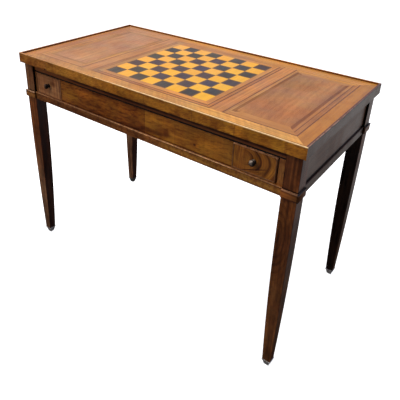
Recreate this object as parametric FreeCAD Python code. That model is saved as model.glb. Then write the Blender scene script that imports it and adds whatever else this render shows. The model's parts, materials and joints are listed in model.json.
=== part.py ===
import FreeCAD, Part
import os

# Games table with a lift-off chess top over a backgammon well, and two small drawers in the front.
# Millimetres. X runs along the table, -Y is the front, Z is up; the origin is under the middle, on the floor.

V = FreeCAD.Vector

# Overall
table_length = 1036.0
table_depth = 538.0
table_height = 740.0

# Lift-off top: a core board, an edge lipping that stands proud above and below it, and veneers
top_thickness = 33.0
lip_height = 5.0
lipping_width = 6.0
lipping_round = 1.2
veneer_thickness = 2.0
baize_thickness = 1.5
baize_clearance = 2.0

# Marquetry; the board's squares fill what the bands and strings round them leave of the depth
squares_per_side = 8
outer_band_width = 40.4
board_border_width = 17.0
string_width = 3.5
light_band_width = 9.0
cross_band_width = 38.5
side_border_inboard = 10.0
side_border_outer = 11.0
side_border_inner = 8.5
fine_string_width = 2.5
side_inner_band_width = 10.0

# Legs
leg_inset = 10.0
leg_width = 42.0
taper_drop = 59.0
outer_taper = 6.0
inner_taper = 10.5
leg_round = 1.0

# Foot caps
foot_cap_height = 22.0
foot_ring_height = 4.0
foot_ring_projection = 1.2
foot_pad_width = 15.0
foot_spigot_width = 12.0
foot_spigot_length = 12.0

# Leg collars and the moulding under the frieze
collar_height = 22.0
collar_rise = 2.0
collar_projection = 5.0
moulding_height = 25.0
moulding_projection = 5.0
moulding_bead = 4.4
moulding_quirk = 0.8

# Rails
rail_setback = 7.0
rail_thickness = 20.0
upper_rail_height = 26.0
frieze_height = 72.0
black_string_height = 5.0
black_string_setback = 2.0
tenon_spacing = 3.0
tenon_thickness = 8.0
tenon_shoulder = 4.0
joint_gap = 0.15

# Drawers
drawer_width = 123.5
drawer_depth = 300.0
drawer_reveal = 0.8
left_stile_width = 6.0
left_drawer_gap = 0.8
right_stile_width = 17.5
right_drawer_gap = 4.5
frieze_joint_gap = 0.5
drawer_front_thickness = 18.0
drawer_wall = 9.0
drawer_side_drop = 13.7
drawer_side_clearance = 0.6
drawer_run_clearance = 0.3
drawer_bottom_thickness = 5.0
drawer_bottom_rise = 4.0
drawer_groove_depth = 4.0
drawer_lap_depth = 11.0
bead_width = 3.0
bead_depth = 6.0
bead_projection = 1.5

# Knobs
knob_radius = 9.0
knob_projection = 16.0
knob_rise = 2.0
knob_neck_radius = 4.2
knob_rose_radius = 7.0
knob_rose_thickness = 1.6
knob_head_thickness = 8.5
knob_crown = 0.8
knob_shank_radius = 3.0
knob_shank_length = 13.0
knob_shank_gap = 0.05

# Drawer carcase
runner_width = 20.0
runner_height = 12.0
guide_width = 6.0
guide_height = 31.0
stop_length = 20.0
stop_height = 16.0
stop_gap = 0.5
deck_thickness = 10.0
deck_clearance = 3.0

# Backgammon well
well_side_gap = 5.0
well_wall_thickness = 10.0
well_lining_thickness = 8.0
well_floor_thickness = 12.0
well_floor_rise = 3.0
well_wall_drop = 3.0
centre_bar_width = 24.0
centre_bar_drop = 12.0
ledger_width = 15.0
ledger_height = 12.0
points_per_side = 6
point_gap = 3.0
point_tip_spacing = 92.0
point_thickness = 1.5

# Levels and faces worked out from the sizes above
lipping_bottom_z = table_height - top_thickness
seat_z = lipping_bottom_z + lip_height
surface_z = table_height - lip_height
veneer_bottom_z = surface_z - veneer_thickness
top_x = table_length / 2
top_y = table_depth / 2
core_x = top_x - lipping_width
core_y = top_y - lipping_width
centre_half = core_y - outer_band_width
light_band_half = centre_half - string_width
inner_string_half = light_band_half - light_band_width
border_half = inner_string_half - string_width
board_half = border_half - board_border_width
square_size = 2 * board_half / squares_per_side
panel_x = core_x - outer_band_width
side_panel_x = centre_half + cross_band_width
leg_outer_x = top_x - leg_inset
leg_outer_y = top_y - leg_inset
leg_inner_x = leg_outer_x - leg_width
leg_inner_y = leg_outer_y - leg_width
rail_x = leg_outer_x - rail_setback
rail_y = leg_outer_y - rail_setback
rail_back_x = rail_x - rail_thickness
rail_back_y = rail_y - rail_thickness
upper_rail_bottom_z = seat_z - upper_rail_height
frieze_top_z = upper_rail_bottom_z - black_string_height
frieze_bottom_z = frieze_top_z - frieze_height
apron_bottom_z = frieze_bottom_z - moulding_height
collar_bottom_z = apron_bottom_z + collar_rise
taper_top_z = apron_bottom_z - taper_drop
runner_bottom_z = frieze_bottom_z - runner_height
deck_bottom_z = frieze_top_z + deck_clearance
floor_bottom_z = frieze_bottom_z + well_floor_rise
floor_top_z = floor_bottom_z + well_floor_thickness
well_wall_top_z = seat_z - well_wall_drop
tenon_length = leg_width - rail_setback - (rail_thickness + tenon_thickness) / 2 - tenon_spacing
foot_x = leg_outer_x - outer_taper
foot_width = leg_width - outer_taper - inner_taper

# Each drawer: the side it is on, its outer edge and the outer edge of its opening
right_opening_x = leg_inner_x - right_stile_width
left_opening_x = leg_inner_x - left_stile_width
drawers = {
    "left": (-1, left_opening_x - left_drawer_gap, left_opening_x),
    "right": (1, right_opening_x - right_drawer_gap, right_opening_x),
}
inner_drawer_x = min(edge for side, edge, opening in drawers.values()) - drawer_width
well_end_x = inner_drawer_x - guide_width - well_side_gap
well_half_length = well_end_x - well_wall_thickness
corners = {
    "front_left": (-1, -1),
    "front_right": (1, -1),
    "back_left": (-1, 1),
    "back_right": (1, 1),
}


def save(name, *solids):
    """Write one node's solids to its STEP file."""
    shape = solids[0] if len(solids) == 1 else Part.makeCompound(list(solids))
    shape.exportStep("parts/" + name + ".step")


def box(x0, x1, y0, y1, z0, z1):
    """A box between two corners, given in any order."""
    low = V(min(x0, x1), min(y0, y1), min(z0, z1))
    return Part.makeBox(abs(x1 - x0), abs(y1 - y0), abs(z1 - z0), low)


def prism(points, z0, z1):
    """A prism on a polygon of (x, y) points, carried up from z0 to z1."""
    ring = [V(x, y, z0) for x, y in points]
    return Part.Face(Part.makePolygon(ring + ring[:1])).extrude(V(0, 0, z1 - z0))


def upright_prism(points, y0, y1):
    """A prism on a polygon of (x, z) points, carried from y0 to y1."""
    ring = [V(x, y0, z) for x, z in points]
    return Part.Face(Part.makePolygon(ring + ring[:1])).extrude(V(0, y1 - y0, 0))


def prism_at(side_x, side_y, points, z0, z1):
    """A prism whose outline is given for the back right corner, mirrored to the corner asked for."""
    return prism([(side_x * x, side_y * y) for x, y in points], z0, z1)


def extruded(edges, run):
    """A solid from a closed flat outline of edges, carried along the vector run."""
    return Part.Face(Part.Wire(edges)).extrude(run)


def line(a, b):
    return Part.LineSegment(a, b).toShape()


def arc(a, b, c):
    return Part.Arc(a, b, c).toShape()


def ring_outlines(x0, x1, y0, y1, left, right, front, back):
    """The mitred outlines round a rectangular ring, given its outer edges and the width of each side."""
    xi0, xi1, yi0, yi1 = x0 + left, x1 - right, y0 + front, y1 - back
    sides = [
        (front, [(x0, y0), (x1, y0), (xi1, yi0), (xi0, yi0)]),
        (right, [(x1, y0), (x1, y1), (xi1, yi1), (xi1, yi0)]),
        (back, [(x1, y1), (x0, y1), (xi0, yi1), (xi1, yi1)]),
        (left, [(x0, y1), (x0, y0), (xi0, yi0), (xi0, yi1)]),
    ]
    return [points for width, points in sides if width > 0]


def even_ring(half_x, half_y, width, z0, z1):
    """A ring about the table's middle with one width all round."""
    outlines = ring_outlines(-half_x, half_x, -half_y, half_y, width, width, width, width)
    return [prism(points, z0, z1) for points in outlines]


def round_edges(solid, radius, wanted):
    """Fillet the edges whose middle point satisfies wanted(point)."""
    edges = [e for e in solid.Edges if wanted(e.valueAt((e.FirstParameter + e.LastParameter) / 2))]
    return solid.makeFillet(radius, edges)


def near(a, b):
    return abs(a - b) < 1e-4


# ---- the lift-off top ----

def make_lippings():
    names = ["front", "right", "back", "left"]
    members = even_ring(top_x, top_y, lipping_width, lipping_bottom_z, table_height)
    for name, member in zip(names, members):
        def outer_arris(p):
            on_outside = near(abs(p.x), top_x) or near(abs(p.y), top_y)
            return on_outside and (near(p.z, table_height) or near(p.z, lipping_bottom_z))
        save("top_lipping_" + name, round_edges(member, lipping_round, outer_arris))


def make_top_boards():
    save("top_core", box(-core_x, core_x, -core_y, core_y, seat_z, veneer_bottom_z))
    baize_x = leg_inner_x - baize_clearance
    baize_y = leg_inner_y - baize_clearance
    save("top_baize", box(-baize_x, baize_x, -baize_y, baize_y, seat_z - baize_thickness, seat_z))
    save("outer_banding", *even_ring(core_x, core_y, outer_band_width, veneer_bottom_z, surface_z))


def make_chess_board():
    dark, light = [], []
    for i in range(squares_per_side):
        for j in range(squares_per_side):
            x = -board_half + i * square_size
            y = -board_half + j * square_size
            square = box(x, x + square_size, y, y + square_size, veneer_bottom_z, surface_z)
            (dark if (i + j) % 2 == 0 else light).append(square)
    save("chess_squares_dark", *dark)
    save("chess_squares_light", *light)


def make_board_surround():
    z = (veneer_bottom_z, surface_z)
    border = even_ring(border_half, border_half, board_border_width, *z)
    light_band = even_ring(light_band_half, light_band_half, light_band_width, *z)
    save("board_border", *border, *light_band)
    inner = even_ring(inner_string_half, inner_string_half, string_width, *z)
    outer = even_ring(centre_half, centre_half, string_width, *z)
    save("board_stringing", *inner, *outer)
    bands = [
        box(side * centre_half, side * side_panel_x, -centre_half, centre_half, *z)
        for side in (-1, 1)
    ]
    save("cross_bands", *bands)


def side_ring(side, inboard, outboard, ends, step):
    """One ring of a side panel: the members, and the rectangle left inside it."""
    inner_x, outer_x, half_y = step
    left, right = (outboard, inboard) if side < 0 else (inboard, outboard)
    x0, x1 = sorted((side * inner_x, side * outer_x))
    outlines = ring_outlines(x0, x1, -half_y, half_y, left, right, ends, ends)
    members = [prism(points, veneer_bottom_z, surface_z) for points in outlines]
    return members, (inner_x + inboard, outer_x - outboard, half_y - ends)


def make_side_panels():
    strings, borders, bands, fields = [], [], [], []
    for side in (-1, 1):
        step = (side_panel_x, panel_x, centre_half)
        ring, step = side_ring(side, string_width, string_width, string_width, step)
        strings += ring
        ring, step = side_ring(side, side_border_inboard, side_border_outer, side_border_outer, step)
        borders += ring
        ring, step = side_ring(side, 0.0, fine_string_width, fine_string_width, step)
        strings += ring
        ring, step = side_ring(side, 0.0, side_border_inner, side_border_inner, step)
        borders += ring
        width = side_inner_band_width
        ring, step = side_ring(side, width, width, width, step)
        bands += ring
        inner_x, outer_x, half_y = step
        fields.append(
            box(side * inner_x, side * outer_x, -half_y, half_y, veneer_bottom_z, surface_z)
        )
    save("side_panel_stringing", *strings)
    save("side_panel_borders", *borders)
    save("side_panel_inner_bands", *bands)
    save("side_panel_fields", *fields)


# ---- legs, feet and collars ----

def leg_profile(across):
    """The leg's outline in one view: straight to the taper, then a long arc in on each side."""
    mid_z = (taper_top_z + foot_cap_height) / 2
    inner = leg_width

    def at(inward, z):
        return across * inward + V(0, 0, z)
    outer_foot = at(outer_taper, foot_cap_height)
    inner_foot = at(inner - inner_taper, foot_cap_height)
    return [
        line(at(0, seat_z), at(inner, seat_z)),
        line(at(inner, seat_z), at(inner, taper_top_z)),
        arc(at(inner, taper_top_z), at(inner - inner_taper / 4, mid_z), inner_foot),
        line(inner_foot, outer_foot),
        arc(outer_foot, at(outer_taper / 4, mid_z), at(0, taper_top_z)),
        line(at(0, taper_top_z), at(0, seat_z)),
    ]


def mortise(tenon):
    """The pocket for a tenon: the tenon's box with the joint gap all round."""
    b = tenon.BoundBox
    g = joint_gap
    return box(b.XMin - g, b.XMax + g, b.YMin - g, b.YMax + g, b.ZMin - g, b.ZMax + g)


def long_tenon(side_x, side_y, z0, z1):
    """A front or back rail's tenon at one end."""
    x0 = side_x * leg_inner_x
    y0 = side_y * (rail_y - (rail_thickness - tenon_thickness) / 2)
    return box(x0, x0 + side_x * tenon_length, y0, y0 - side_y * tenon_thickness, z0, z1)


def side_tenon(side_x, side_y, z0, z1):
    """A side rail's tenon at one end."""
    y0 = side_y * leg_inner_y
    x0 = side_x * (rail_x - (rail_thickness - tenon_thickness) / 2)
    return box(x0, x0 - side_x * tenon_thickness, y0, y0 + side_y * tenon_length, z0, z1)


def tenon_span(bottom_z, top_z):
    return bottom_z + tenon_shoulder, top_z - tenon_shoulder


def spigot(side_x, side_y, gap, length):
    """The square spigot under a leg, which the foot cap's socket takes."""
    half = foot_spigot_width / 2 + gap
    x = side_x * (foot_x - foot_width / 2)
    y = side_y * (leg_outer_y - outer_taper - foot_width / 2)
    return box(x - half, x + half, y - half, y + half, foot_cap_height - length, foot_cap_height)


def make_leg(name, side_x, side_y):
    corner = V(side_x * leg_outer_x, side_y * leg_outer_y, 0)
    in_x = V(-side_x, 0, 0)
    in_y = V(0, -side_y, 0)
    front_view = extruded(leg_profile(in_x), in_y * leg_width)
    side_view = extruded(leg_profile(in_y), in_x * leg_width)
    leg = front_view.common(side_view)
    leg.translate(corner)

    def long_arris(p):
        return not near(p.z, seat_z) and not near(p.z, foot_cap_height)
    leg = round_edges(leg, leg_round, long_arris)
    spans = [tenon_span(apron_bottom_z, seat_z)]
    if side_y < 0:
        spans = [tenon_span(apron_bottom_z, frieze_bottom_z), tenon_span(upper_rail_bottom_z, seat_z)]
    for z0, z1 in spans:
        leg = leg.cut(mortise(long_tenon(side_x, side_y, z0, z1)))
    leg = leg.cut(mortise(side_tenon(side_x, side_y, *tenon_span(apron_bottom_z, seat_z))))
    leg = leg.fuse(spigot(side_x, side_y, 0, foot_spigot_length))
    save("leg_" + name, leg.removeSplitter())


def make_foot_caps():
    caps = []
    for side_x, side_y in corners.values():
        x = side_x * (foot_x - foot_width / 2)
        y = side_y * (leg_outer_y - outer_taper - foot_width / 2)
        ring_half = foot_width / 2 + foot_ring_projection
        ring_z = foot_cap_height - foot_ring_height
        ring = box(x - ring_half, x + ring_half, y - ring_half, y + ring_half, ring_z, foot_cap_height)
        ring = round_edges(ring, foot_ring_projection, lambda p: near(abs(p.x - x), ring_half)
                           or near(abs(p.y - y), ring_half))
        sections = []
        for half, z in ((foot_pad_width / 2, 0.0), (foot_width / 2, ring_z)):
            square = [V(x - half, y - half, z), V(x + half, y - half, z),
                      V(x + half, y + half, z), V(x - half, y + half, z)]
            sections.append(Part.makePolygon(square + square[:1]))
        body = Part.makeLoft(sections, True, True)
        socket = spigot(side_x, side_y, joint_gap, foot_spigot_length + joint_gap)
        caps.append(body.fuse(ring).cut(socket))
    save("foot_caps", *caps)


def moulding(start, out, run, projection, bottom_z, top_z):
    """A flat strip with a quirked bead along its top, carried along run with its back on start."""
    radius = moulding_bead / 2
    flat = projection - moulding_quirk
    bead_z = top_z - moulding_bead

    def at(outward, z):
        return start + out * outward + V(0, 0, z)
    bead_start = at(projection - radius, bead_z)
    bead_nose = at(projection, bead_z + radius)
    bead_end = at(projection - radius, top_z)
    outline = [
        line(at(0, bottom_z), at(flat, bottom_z)),
        line(at(flat, bottom_z), at(flat, bead_z)),
        line(at(flat, bead_z), bead_start),
        arc(bead_start, bead_nose, bead_end),
        line(bead_end, at(0, top_z)),
        line(at(0, top_z), at(0, bottom_z)),
    ]
    return extruded(outline, run)


def make_collar(name, side_x, side_y):
    """Two strips on the leg's outer faces, mitred where they meet at its corner."""
    x, y = leg_outer_x, leg_outer_y
    tip_x, tip_y = x + collar_projection, y + collar_projection
    z = (collar_bottom_z, collar_bottom_z + collar_height)
    reach = leg_width + collar_projection
    along_x = prism_at(side_x, side_y, [(leg_inner_x, y), (x, y), (tip_x, tip_y), (leg_inner_x, tip_y)], *z)
    along_y = prism_at(side_x, side_y, [(x, leg_inner_y), (x, y), (tip_x, tip_y), (tip_x, leg_inner_y)], *z)
    start_x = V(side_x * leg_inner_x, side_y * y, 0)
    start_y = V(side_x * x, side_y * leg_inner_y, 0)
    strip_x = moulding(start_x, V(0, side_y, 0), V(side_x * reach, 0, 0), collar_projection, *z)
    strip_y = moulding(start_y, V(side_x, 0, 0), V(0, side_y * reach, 0), collar_projection, *z)
    save("collar_" + name, strip_x.common(along_x), strip_y.common(along_y))


# ---- rails, frieze and mouldings ----

def long_rail(side_y, bottom_z, top_z):
    """A front or back rail between the legs, with a tenon at each end."""
    rail = box(-leg_inner_x, leg_inner_x, side_y * rail_back_y, side_y * rail_y, bottom_z, top_z)
    for side_x in (-1, 1):
        rail = rail.fuse(long_tenon(side_x, side_y, *tenon_span(bottom_z, top_z)))
    return rail.removeSplitter()


def side_rail(side_x):
    rail = box(side_x * rail_back_x, side_x * rail_x, -leg_inner_y, leg_inner_y, apron_bottom_z, seat_z)
    for side_y in (-1, 1):
        rail = rail.fuse(side_tenon(side_x, side_y, *tenon_span(apron_bottom_z, seat_z)))
    return rail.removeSplitter()


def make_rails():
    save("front_lower_rail", long_rail(-1, apron_bottom_z, frieze_bottom_z))
    save("front_upper_rail", long_rail(-1, upper_rail_bottom_z, seat_z))
    save("back_rail", long_rail(1, apron_bottom_z, seat_z))
    save("left_side_rail", side_rail(-1))
    save("right_side_rail", side_rail(1))


def make_front():
    """The fixed parts of the front between the two long rails."""
    y = (-rail_y, -rail_back_y)
    z = (frieze_bottom_z, frieze_top_z)
    edges = [edge - drawer_width - frieze_joint_gap for side, edge, opening in drawers.values()]
    save("front_frieze_panel", box(-edges[0], edges[1], *y, *z))
    stiles = [box(side * opening, side * leg_inner_x, *y, *z) for side, edge, opening in drawers.values()]
    save("front_stiles", *stiles)
    string_y = -rail_y + black_string_setback
    save("front_black_string", box(-leg_inner_x, leg_inner_x, string_y, -rail_back_y,
                                   frieze_top_z, upper_rail_bottom_z))


def make_mouldings():
    z = (apron_bottom_z, frieze_bottom_z)
    for name, side_y in (("front", -1), ("back", 1)):
        start = V(-leg_inner_x, side_y * rail_y, 0)
        run = V(2 * leg_inner_x, 0, 0)
        save(name + "_moulding", moulding(start, V(0, side_y, 0), run, moulding_projection, *z))
    sides = [
        moulding(V(side * rail_x, -leg_inner_y, 0), V(side, 0, 0), V(0, 2 * leg_inner_y, 0),
                 moulding_projection, *z)
        for side in (-1, 1)
    ]
    save("side_mouldings", *sides)


# ---- backgammon well ----

def point_outlines():
    """The triangles inlaid in the well's floor along its front and back: (is dark, three corners)."""
    half_bar = centre_bar_width / 2
    pitch = (well_half_length - half_bar) / points_per_side
    base_y = rail_back_y - well_lining_thickness
    tip_y = point_tip_spacing / 2
    outlines = []
    for side_x in (-1, 1):
        for n in range(points_per_side):
            x0 = half_bar + n * pitch + point_gap / 2
            x1 = half_bar + (n + 1) * pitch - point_gap / 2
            for side_y in (-1, 1):
                y0 = side_y * base_y
                tip = (side_x * (x0 + x1) / 2, side_y * tip_y)
                triangle = [(side_x * x0, y0), (side_x * x1, y0), tip]
                is_dark = (n + (side_x > 0) + (side_y > 0)) % 2 == 0
                outlines.append((is_dark, triangle))
    return outlines


def make_well():
    length = well_half_length
    lining_y = rail_back_y - well_lining_thickness
    floor = box(-length, length, -rail_back_y, rail_back_y, floor_bottom_z, floor_top_z)
    dark, light = [], []
    for is_dark, outline in point_outlines():
        (dark if is_dark else light).append(prism(outline, floor_top_z - point_thickness, floor_top_z))
    save("well_floor", floor.cut(dark + light))
    save("well_points_dark", *dark)
    save("well_points_light", *light)
    for name, side in (("left", -1), ("right", 1)):
        save("well_wall_" + name, box(side * length, side * well_end_x, -rail_back_y, rail_back_y,
                                      floor_bottom_z, well_wall_top_z))
    linings = [
        box(-length, length, side * lining_y, side * rail_back_y, floor_top_z, well_wall_top_z)
        for side in (-1, 1)
    ]
    save("well_linings", *linings)
    half_bar = centre_bar_width / 2
    save("well_centre_bar", box(-half_bar, half_bar, -lining_y, lining_y,
                                floor_top_z, well_wall_top_z - centre_bar_drop))
    ledgers = [
        box(-length, length, side * rail_back_y, side * (rail_back_y - ledger_width),
            floor_bottom_z - ledger_height, floor_bottom_z)
        for side in (-1, 1)
    ]
    save("well_ledgers", *ledgers)


# ---- drawers and what carries them ----

def make_drawer_carcase():
    runners, guides, stops, decks = [], [], [], []
    y = (-rail_back_y, rail_back_y)
    for side, edge, opening in drawers.values():
        for at, inward in ((edge, -1), (edge - drawer_width, 1)):
            reach = at + inward * runner_width
            runners.append(box(side * at, side * reach, *y, runner_bottom_z, frieze_bottom_z))
            guides.append(box(side * at, side * (at - inward * guide_width), *y,
                              runner_bottom_z, frieze_bottom_z + guide_height))
        stop_y = -rail_y + drawer_depth + stop_gap
        stops.append(box(side * edge, side * (edge - runner_width), stop_y, stop_y + stop_length,
                         frieze_bottom_z, frieze_bottom_z + stop_height))
        deck = box(side * well_end_x, side * rail_back_x, *y, deck_bottom_z, deck_bottom_z + deck_thickness)
        for side_y in (-1, 1):
            deck = deck.cut(box(side * leg_inner_x, side * leg_outer_x, side_y * leg_inner_y,
                                side_y * leg_outer_y, frieze_bottom_z, seat_z))
        decks.append(deck)
    save("drawer_runners", *runners)
    save("drawer_guides", *guides)
    save("drawer_stops", *stops)
    save("drawer_decks", *decks)


def knob(x, z):
    """A turned knob on a rose, with a shank into the drawer front, about an axis along -Y."""
    face_y = -rail_y
    tip = face_y - knob_projection
    head = tip + knob_head_thickness
    neck = knob_neck_radius
    rose_y = face_y - knob_rose_thickness

    def at(radius, y):
        return V(radius, y, 0)
    outline = [
        line(at(0, face_y + knob_shank_length), at(knob_shank_radius, face_y + knob_shank_length)),
        line(at(knob_shank_radius, face_y + knob_shank_length), at(knob_shank_radius, face_y)),
        line(at(knob_shank_radius, face_y), at(knob_rose_radius, face_y)),
        line(at(knob_rose_radius, face_y), at(knob_rose_radius, rose_y)),
        line(at(knob_rose_radius, rose_y), at(neck, rose_y)),
        line(at(neck, rose_y), at(neck, head)),
        arc(at(neck, head), at(knob_radius, head - knob_head_thickness * 0.45), at(neck, tip + knob_crown)),
        line(at(neck, tip + knob_crown), at(0, tip)),
        line(at(0, tip), at(0, face_y + knob_shank_length)),
    ]
    turned = Part.Face(Part.Wire(outline)).revolve(V(0, 0, 0), V(0, 1, 0), 360)
    turned.translate(V(x, 0, z))
    return turned


def make_drawer(name, side, edge):
    x0, x1 = sorted((side * edge, side * (edge - drawer_width)))
    face_y = -rail_y
    z0 = frieze_bottom_z + drawer_reveal
    z1 = frieze_top_z - drawer_reveal
    inside_y = face_y + drawer_front_thickness
    end_y = face_y + drawer_depth
    side_z0 = frieze_bottom_z + drawer_run_clearance
    side_z1 = frieze_top_z - drawer_side_drop
    bottom_z = side_z0 + drawer_bottom_rise
    wall_x0 = x0 + drawer_side_clearance
    wall_x1 = x1 - drawer_side_clearance
    lap_y = inside_y - drawer_lap_depth
    knob_x, knob_z = (x0 + x1) / 2, (z0 + z1) / 2 + knob_rise

    walls = [
        box(wall_x0, wall_x0 + drawer_wall, lap_y, end_y, side_z0, side_z1),
        box(wall_x1 - drawer_wall, wall_x1, lap_y, end_y, side_z0, side_z1),
    ]
    groove_x0 = wall_x0 + drawer_wall - drawer_groove_depth
    groove_x1 = wall_x1 - drawer_wall + drawer_groove_depth
    groove_y = inside_y - drawer_groove_depth
    groove_z1 = bottom_z + drawer_bottom_thickness
    g = joint_gap
    groove = box(groove_x0 - g, groove_x1 + g, groove_y - g, end_y, bottom_z - g, groove_z1 + g)

    # Front: laps for the sides behind, a groove for the bottom, a rebate for the bead and the knob's hole
    front = box(x0, x1, face_y, inside_y, z0, z1)
    laps = [box(x0, wall_x0 + drawer_wall, lap_y, inside_y, z0, side_z1),
            box(wall_x1 - drawer_wall, x1, lap_y, inside_y, z0, side_z1)]
    bead_back = face_y + bead_depth
    field = box(x0 + bead_width, x1 - bead_width, face_y, bead_back, z0 + bead_width, z1 - bead_width)
    rebate = box(x0, x1, face_y, bead_back, z0, z1).cut(field)
    shank = Part.makeCylinder(knob_shank_radius + knob_shank_gap, drawer_front_thickness,
                              V(knob_x, face_y, knob_z), V(0, 1, 0))
    save(name + "_drawer_front", front.cut(laps + [groove, rebate, shank]).removeSplitter())

    bead_outlines = ring_outlines(x0, x1, z0, z1, bead_width, bead_width, bead_width, bead_width)
    bead = [upright_prism(points, face_y - bead_projection, bead_back) for points in bead_outlines]
    save(name + "_drawer_bead", *bead)
    save(name + "_drawer_sides", *[wall.cut(groove) for wall in walls])
    save(name + "_drawer_back", box(wall_x0 + drawer_wall, wall_x1 - drawer_wall,
                                    end_y - drawer_wall, end_y, groove_z1, side_z1))
    save(name + "_drawer_bottom", box(groove_x0, groove_x1, groove_y, end_y, bottom_z, groove_z1))
    save(name + "_knob", knob(knob_x, knob_z))


os.makedirs("parts", exist_ok=True)
make_lippings()
make_top_boards()
make_chess_board()
make_board_surround()
make_side_panels()
for corner_name, signs in corners.items():
    make_leg(corner_name, *signs)
    make_collar(corner_name, *signs)
make_foot_caps()
make_rails()
make_front()
make_mouldings()
make_well()
make_drawer_carcase()
for drawer_name, (drawer_side, drawer_edge, opening_edge) in drawers.items():
    make_drawer(drawer_name, drawer_side, drawer_edge)
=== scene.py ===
import json
import math

import bmesh
import bpy
import numpy as np
from mathutils import Matrix, Vector

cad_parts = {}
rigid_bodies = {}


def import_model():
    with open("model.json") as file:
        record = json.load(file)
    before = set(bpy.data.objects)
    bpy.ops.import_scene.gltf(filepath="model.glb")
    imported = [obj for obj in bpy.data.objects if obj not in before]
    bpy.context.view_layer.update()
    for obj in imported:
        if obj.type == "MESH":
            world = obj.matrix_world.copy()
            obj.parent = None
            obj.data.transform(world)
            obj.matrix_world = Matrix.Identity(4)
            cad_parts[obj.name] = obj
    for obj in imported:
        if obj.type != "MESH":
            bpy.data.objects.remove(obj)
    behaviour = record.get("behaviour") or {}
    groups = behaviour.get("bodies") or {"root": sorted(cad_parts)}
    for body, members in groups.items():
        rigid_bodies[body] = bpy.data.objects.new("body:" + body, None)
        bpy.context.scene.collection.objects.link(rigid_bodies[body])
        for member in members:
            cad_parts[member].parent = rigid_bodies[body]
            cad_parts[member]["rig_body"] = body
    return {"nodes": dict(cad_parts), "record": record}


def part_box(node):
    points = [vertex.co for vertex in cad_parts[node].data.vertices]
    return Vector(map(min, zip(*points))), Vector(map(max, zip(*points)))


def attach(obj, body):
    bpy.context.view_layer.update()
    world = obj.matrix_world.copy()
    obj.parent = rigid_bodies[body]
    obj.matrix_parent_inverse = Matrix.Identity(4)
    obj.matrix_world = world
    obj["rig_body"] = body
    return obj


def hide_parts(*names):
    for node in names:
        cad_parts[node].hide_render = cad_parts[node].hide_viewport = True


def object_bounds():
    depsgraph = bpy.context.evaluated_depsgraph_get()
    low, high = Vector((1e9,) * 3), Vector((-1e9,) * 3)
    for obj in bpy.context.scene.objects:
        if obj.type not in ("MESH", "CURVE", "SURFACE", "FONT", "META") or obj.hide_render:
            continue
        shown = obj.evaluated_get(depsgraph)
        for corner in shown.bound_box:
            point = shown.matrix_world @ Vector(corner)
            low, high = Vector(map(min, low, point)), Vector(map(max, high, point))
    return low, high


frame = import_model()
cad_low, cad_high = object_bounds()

# Looks for a games table: walnut frame, marquetry top with a chess board, small drawers, metal shoes.
# Metres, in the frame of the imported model: X along the table, -Y the front, Z up.

MM = 0.001
nodes = frame["nodes"]
slot_of = {part["node"]: part["material_slot"] for part in frame["record"]["subparts"]}

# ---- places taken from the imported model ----
core_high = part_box("top_core")[1]
core_x, core_y = core_high.x, core_high.y
board_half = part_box("chess_squares_dark")[1].x
square_size = 2 * board_half / 8
border_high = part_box("board_border")[1]
panel_outer_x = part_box("side_panel_stringing")[1].x
panel_half_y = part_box("side_panel_stringing")[1].y
panel_inner_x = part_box("cross_bands")[1].x
panel_centre_x = (panel_outer_x + panel_inner_x) / 2
panel_half_x = (panel_outer_x - panel_inner_x) / 2
surface_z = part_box("outer_banding")[1].z
table_top_z = cad_high.z
lipping_bottom_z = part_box("top_lipping_front")[0].z
frieze_low, frieze_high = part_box("front_frieze_panel")
front_y = frieze_low.y
moulding_low, moulding_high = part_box("front_moulding")
leg_low, leg_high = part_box("leg_back_right")
collar_low, collar_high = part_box("collar_back_right")
rail_x, rail_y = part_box("right_side_rail")[1].x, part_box("back_rail")[1].y
shoe_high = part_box("foot_caps")[1]
drawer_gap_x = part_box("right_drawer_bead")[1].x
knob_left_x = sum(corner.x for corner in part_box("left_knob")) / 2
knob_right_x = sum(corner.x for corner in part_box("right_knob")) / 2
knob_z = sum(corner.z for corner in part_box("right_knob")) / 2

# ---- the legs' own measures ----
leg_arris = 0.0016
leg_support = 0.003          # from each arc to the point that holds the face flat beside it
leg_rows = 44
leg_taper_top = moulding_low.z - 0.059
leg_outer_taper = 0.006
leg_inner_taper = 0.0105

# ---- camera and light ----
camera_place = (0.8444, -1.1739, 1.2276)
camera_azimuth = 35.802
camera_elevation = 25.702
camera_roll = 2.184
camera_lens = 42.835
camera_sensor = 36.0
camera_shift = (0.0292, -0.1850)

floor_reach = 30.0
floor_drop = 0.0004
floor_colour = (0.80, 0.80, 0.80)
floor_glow = 0.97
floor_bounce = (0.30, 0.30, 0.30)
surround_colour = (0.80, 0.88, 1.25)
surround_diffuse = 0.18
surround_gloss = 0.50
lamps = {
    # name: place, aim, width, depth, power, colour; only the glint shows in the polish
    "overhead": ((-0.75, 0.15, 2.9), (0.0, 0.0, 0.7), 3.0, 2.4, 74.0, (1.0, 0.97, 0.93)),
    "front_fill": ((-2.0, -2.6, 2.0), (0.0, -0.2, 0.5), 1.8, 1.4, 20.0, (1.0, 0.95, 0.88)),
    "glint": ((-0.7, -1.5, 2.4), (0.1, -0.25, 0.7), 0.9, 0.45, 10.0, (1.0, 0.98, 0.95)),
}

# ---- colours and widths that several finishes share ----
white = (1.0, 1.0, 1.0)
painted_shade_black = (0.03, 0.03, 0.03)     # a tint: near-black painted shade in ledges and corners
faded_string = (0.46, 0.19, 0.045)
glue_tone = (0.60, 0.50, 0.42)
ring_tone = (0.22, 0.14, 0.11)
pore_tone = (0.35, 0.28, 0.25)
speck_tone = (0.40, 0.35, 0.30)
warm_tone = (1.10, 0.95, 0.86)
outer_string = 0.208                  # from the board's centre to the border's outer strings
seam_half = 0.0003                    # half the width of a seam between two leaves of veneer


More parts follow.
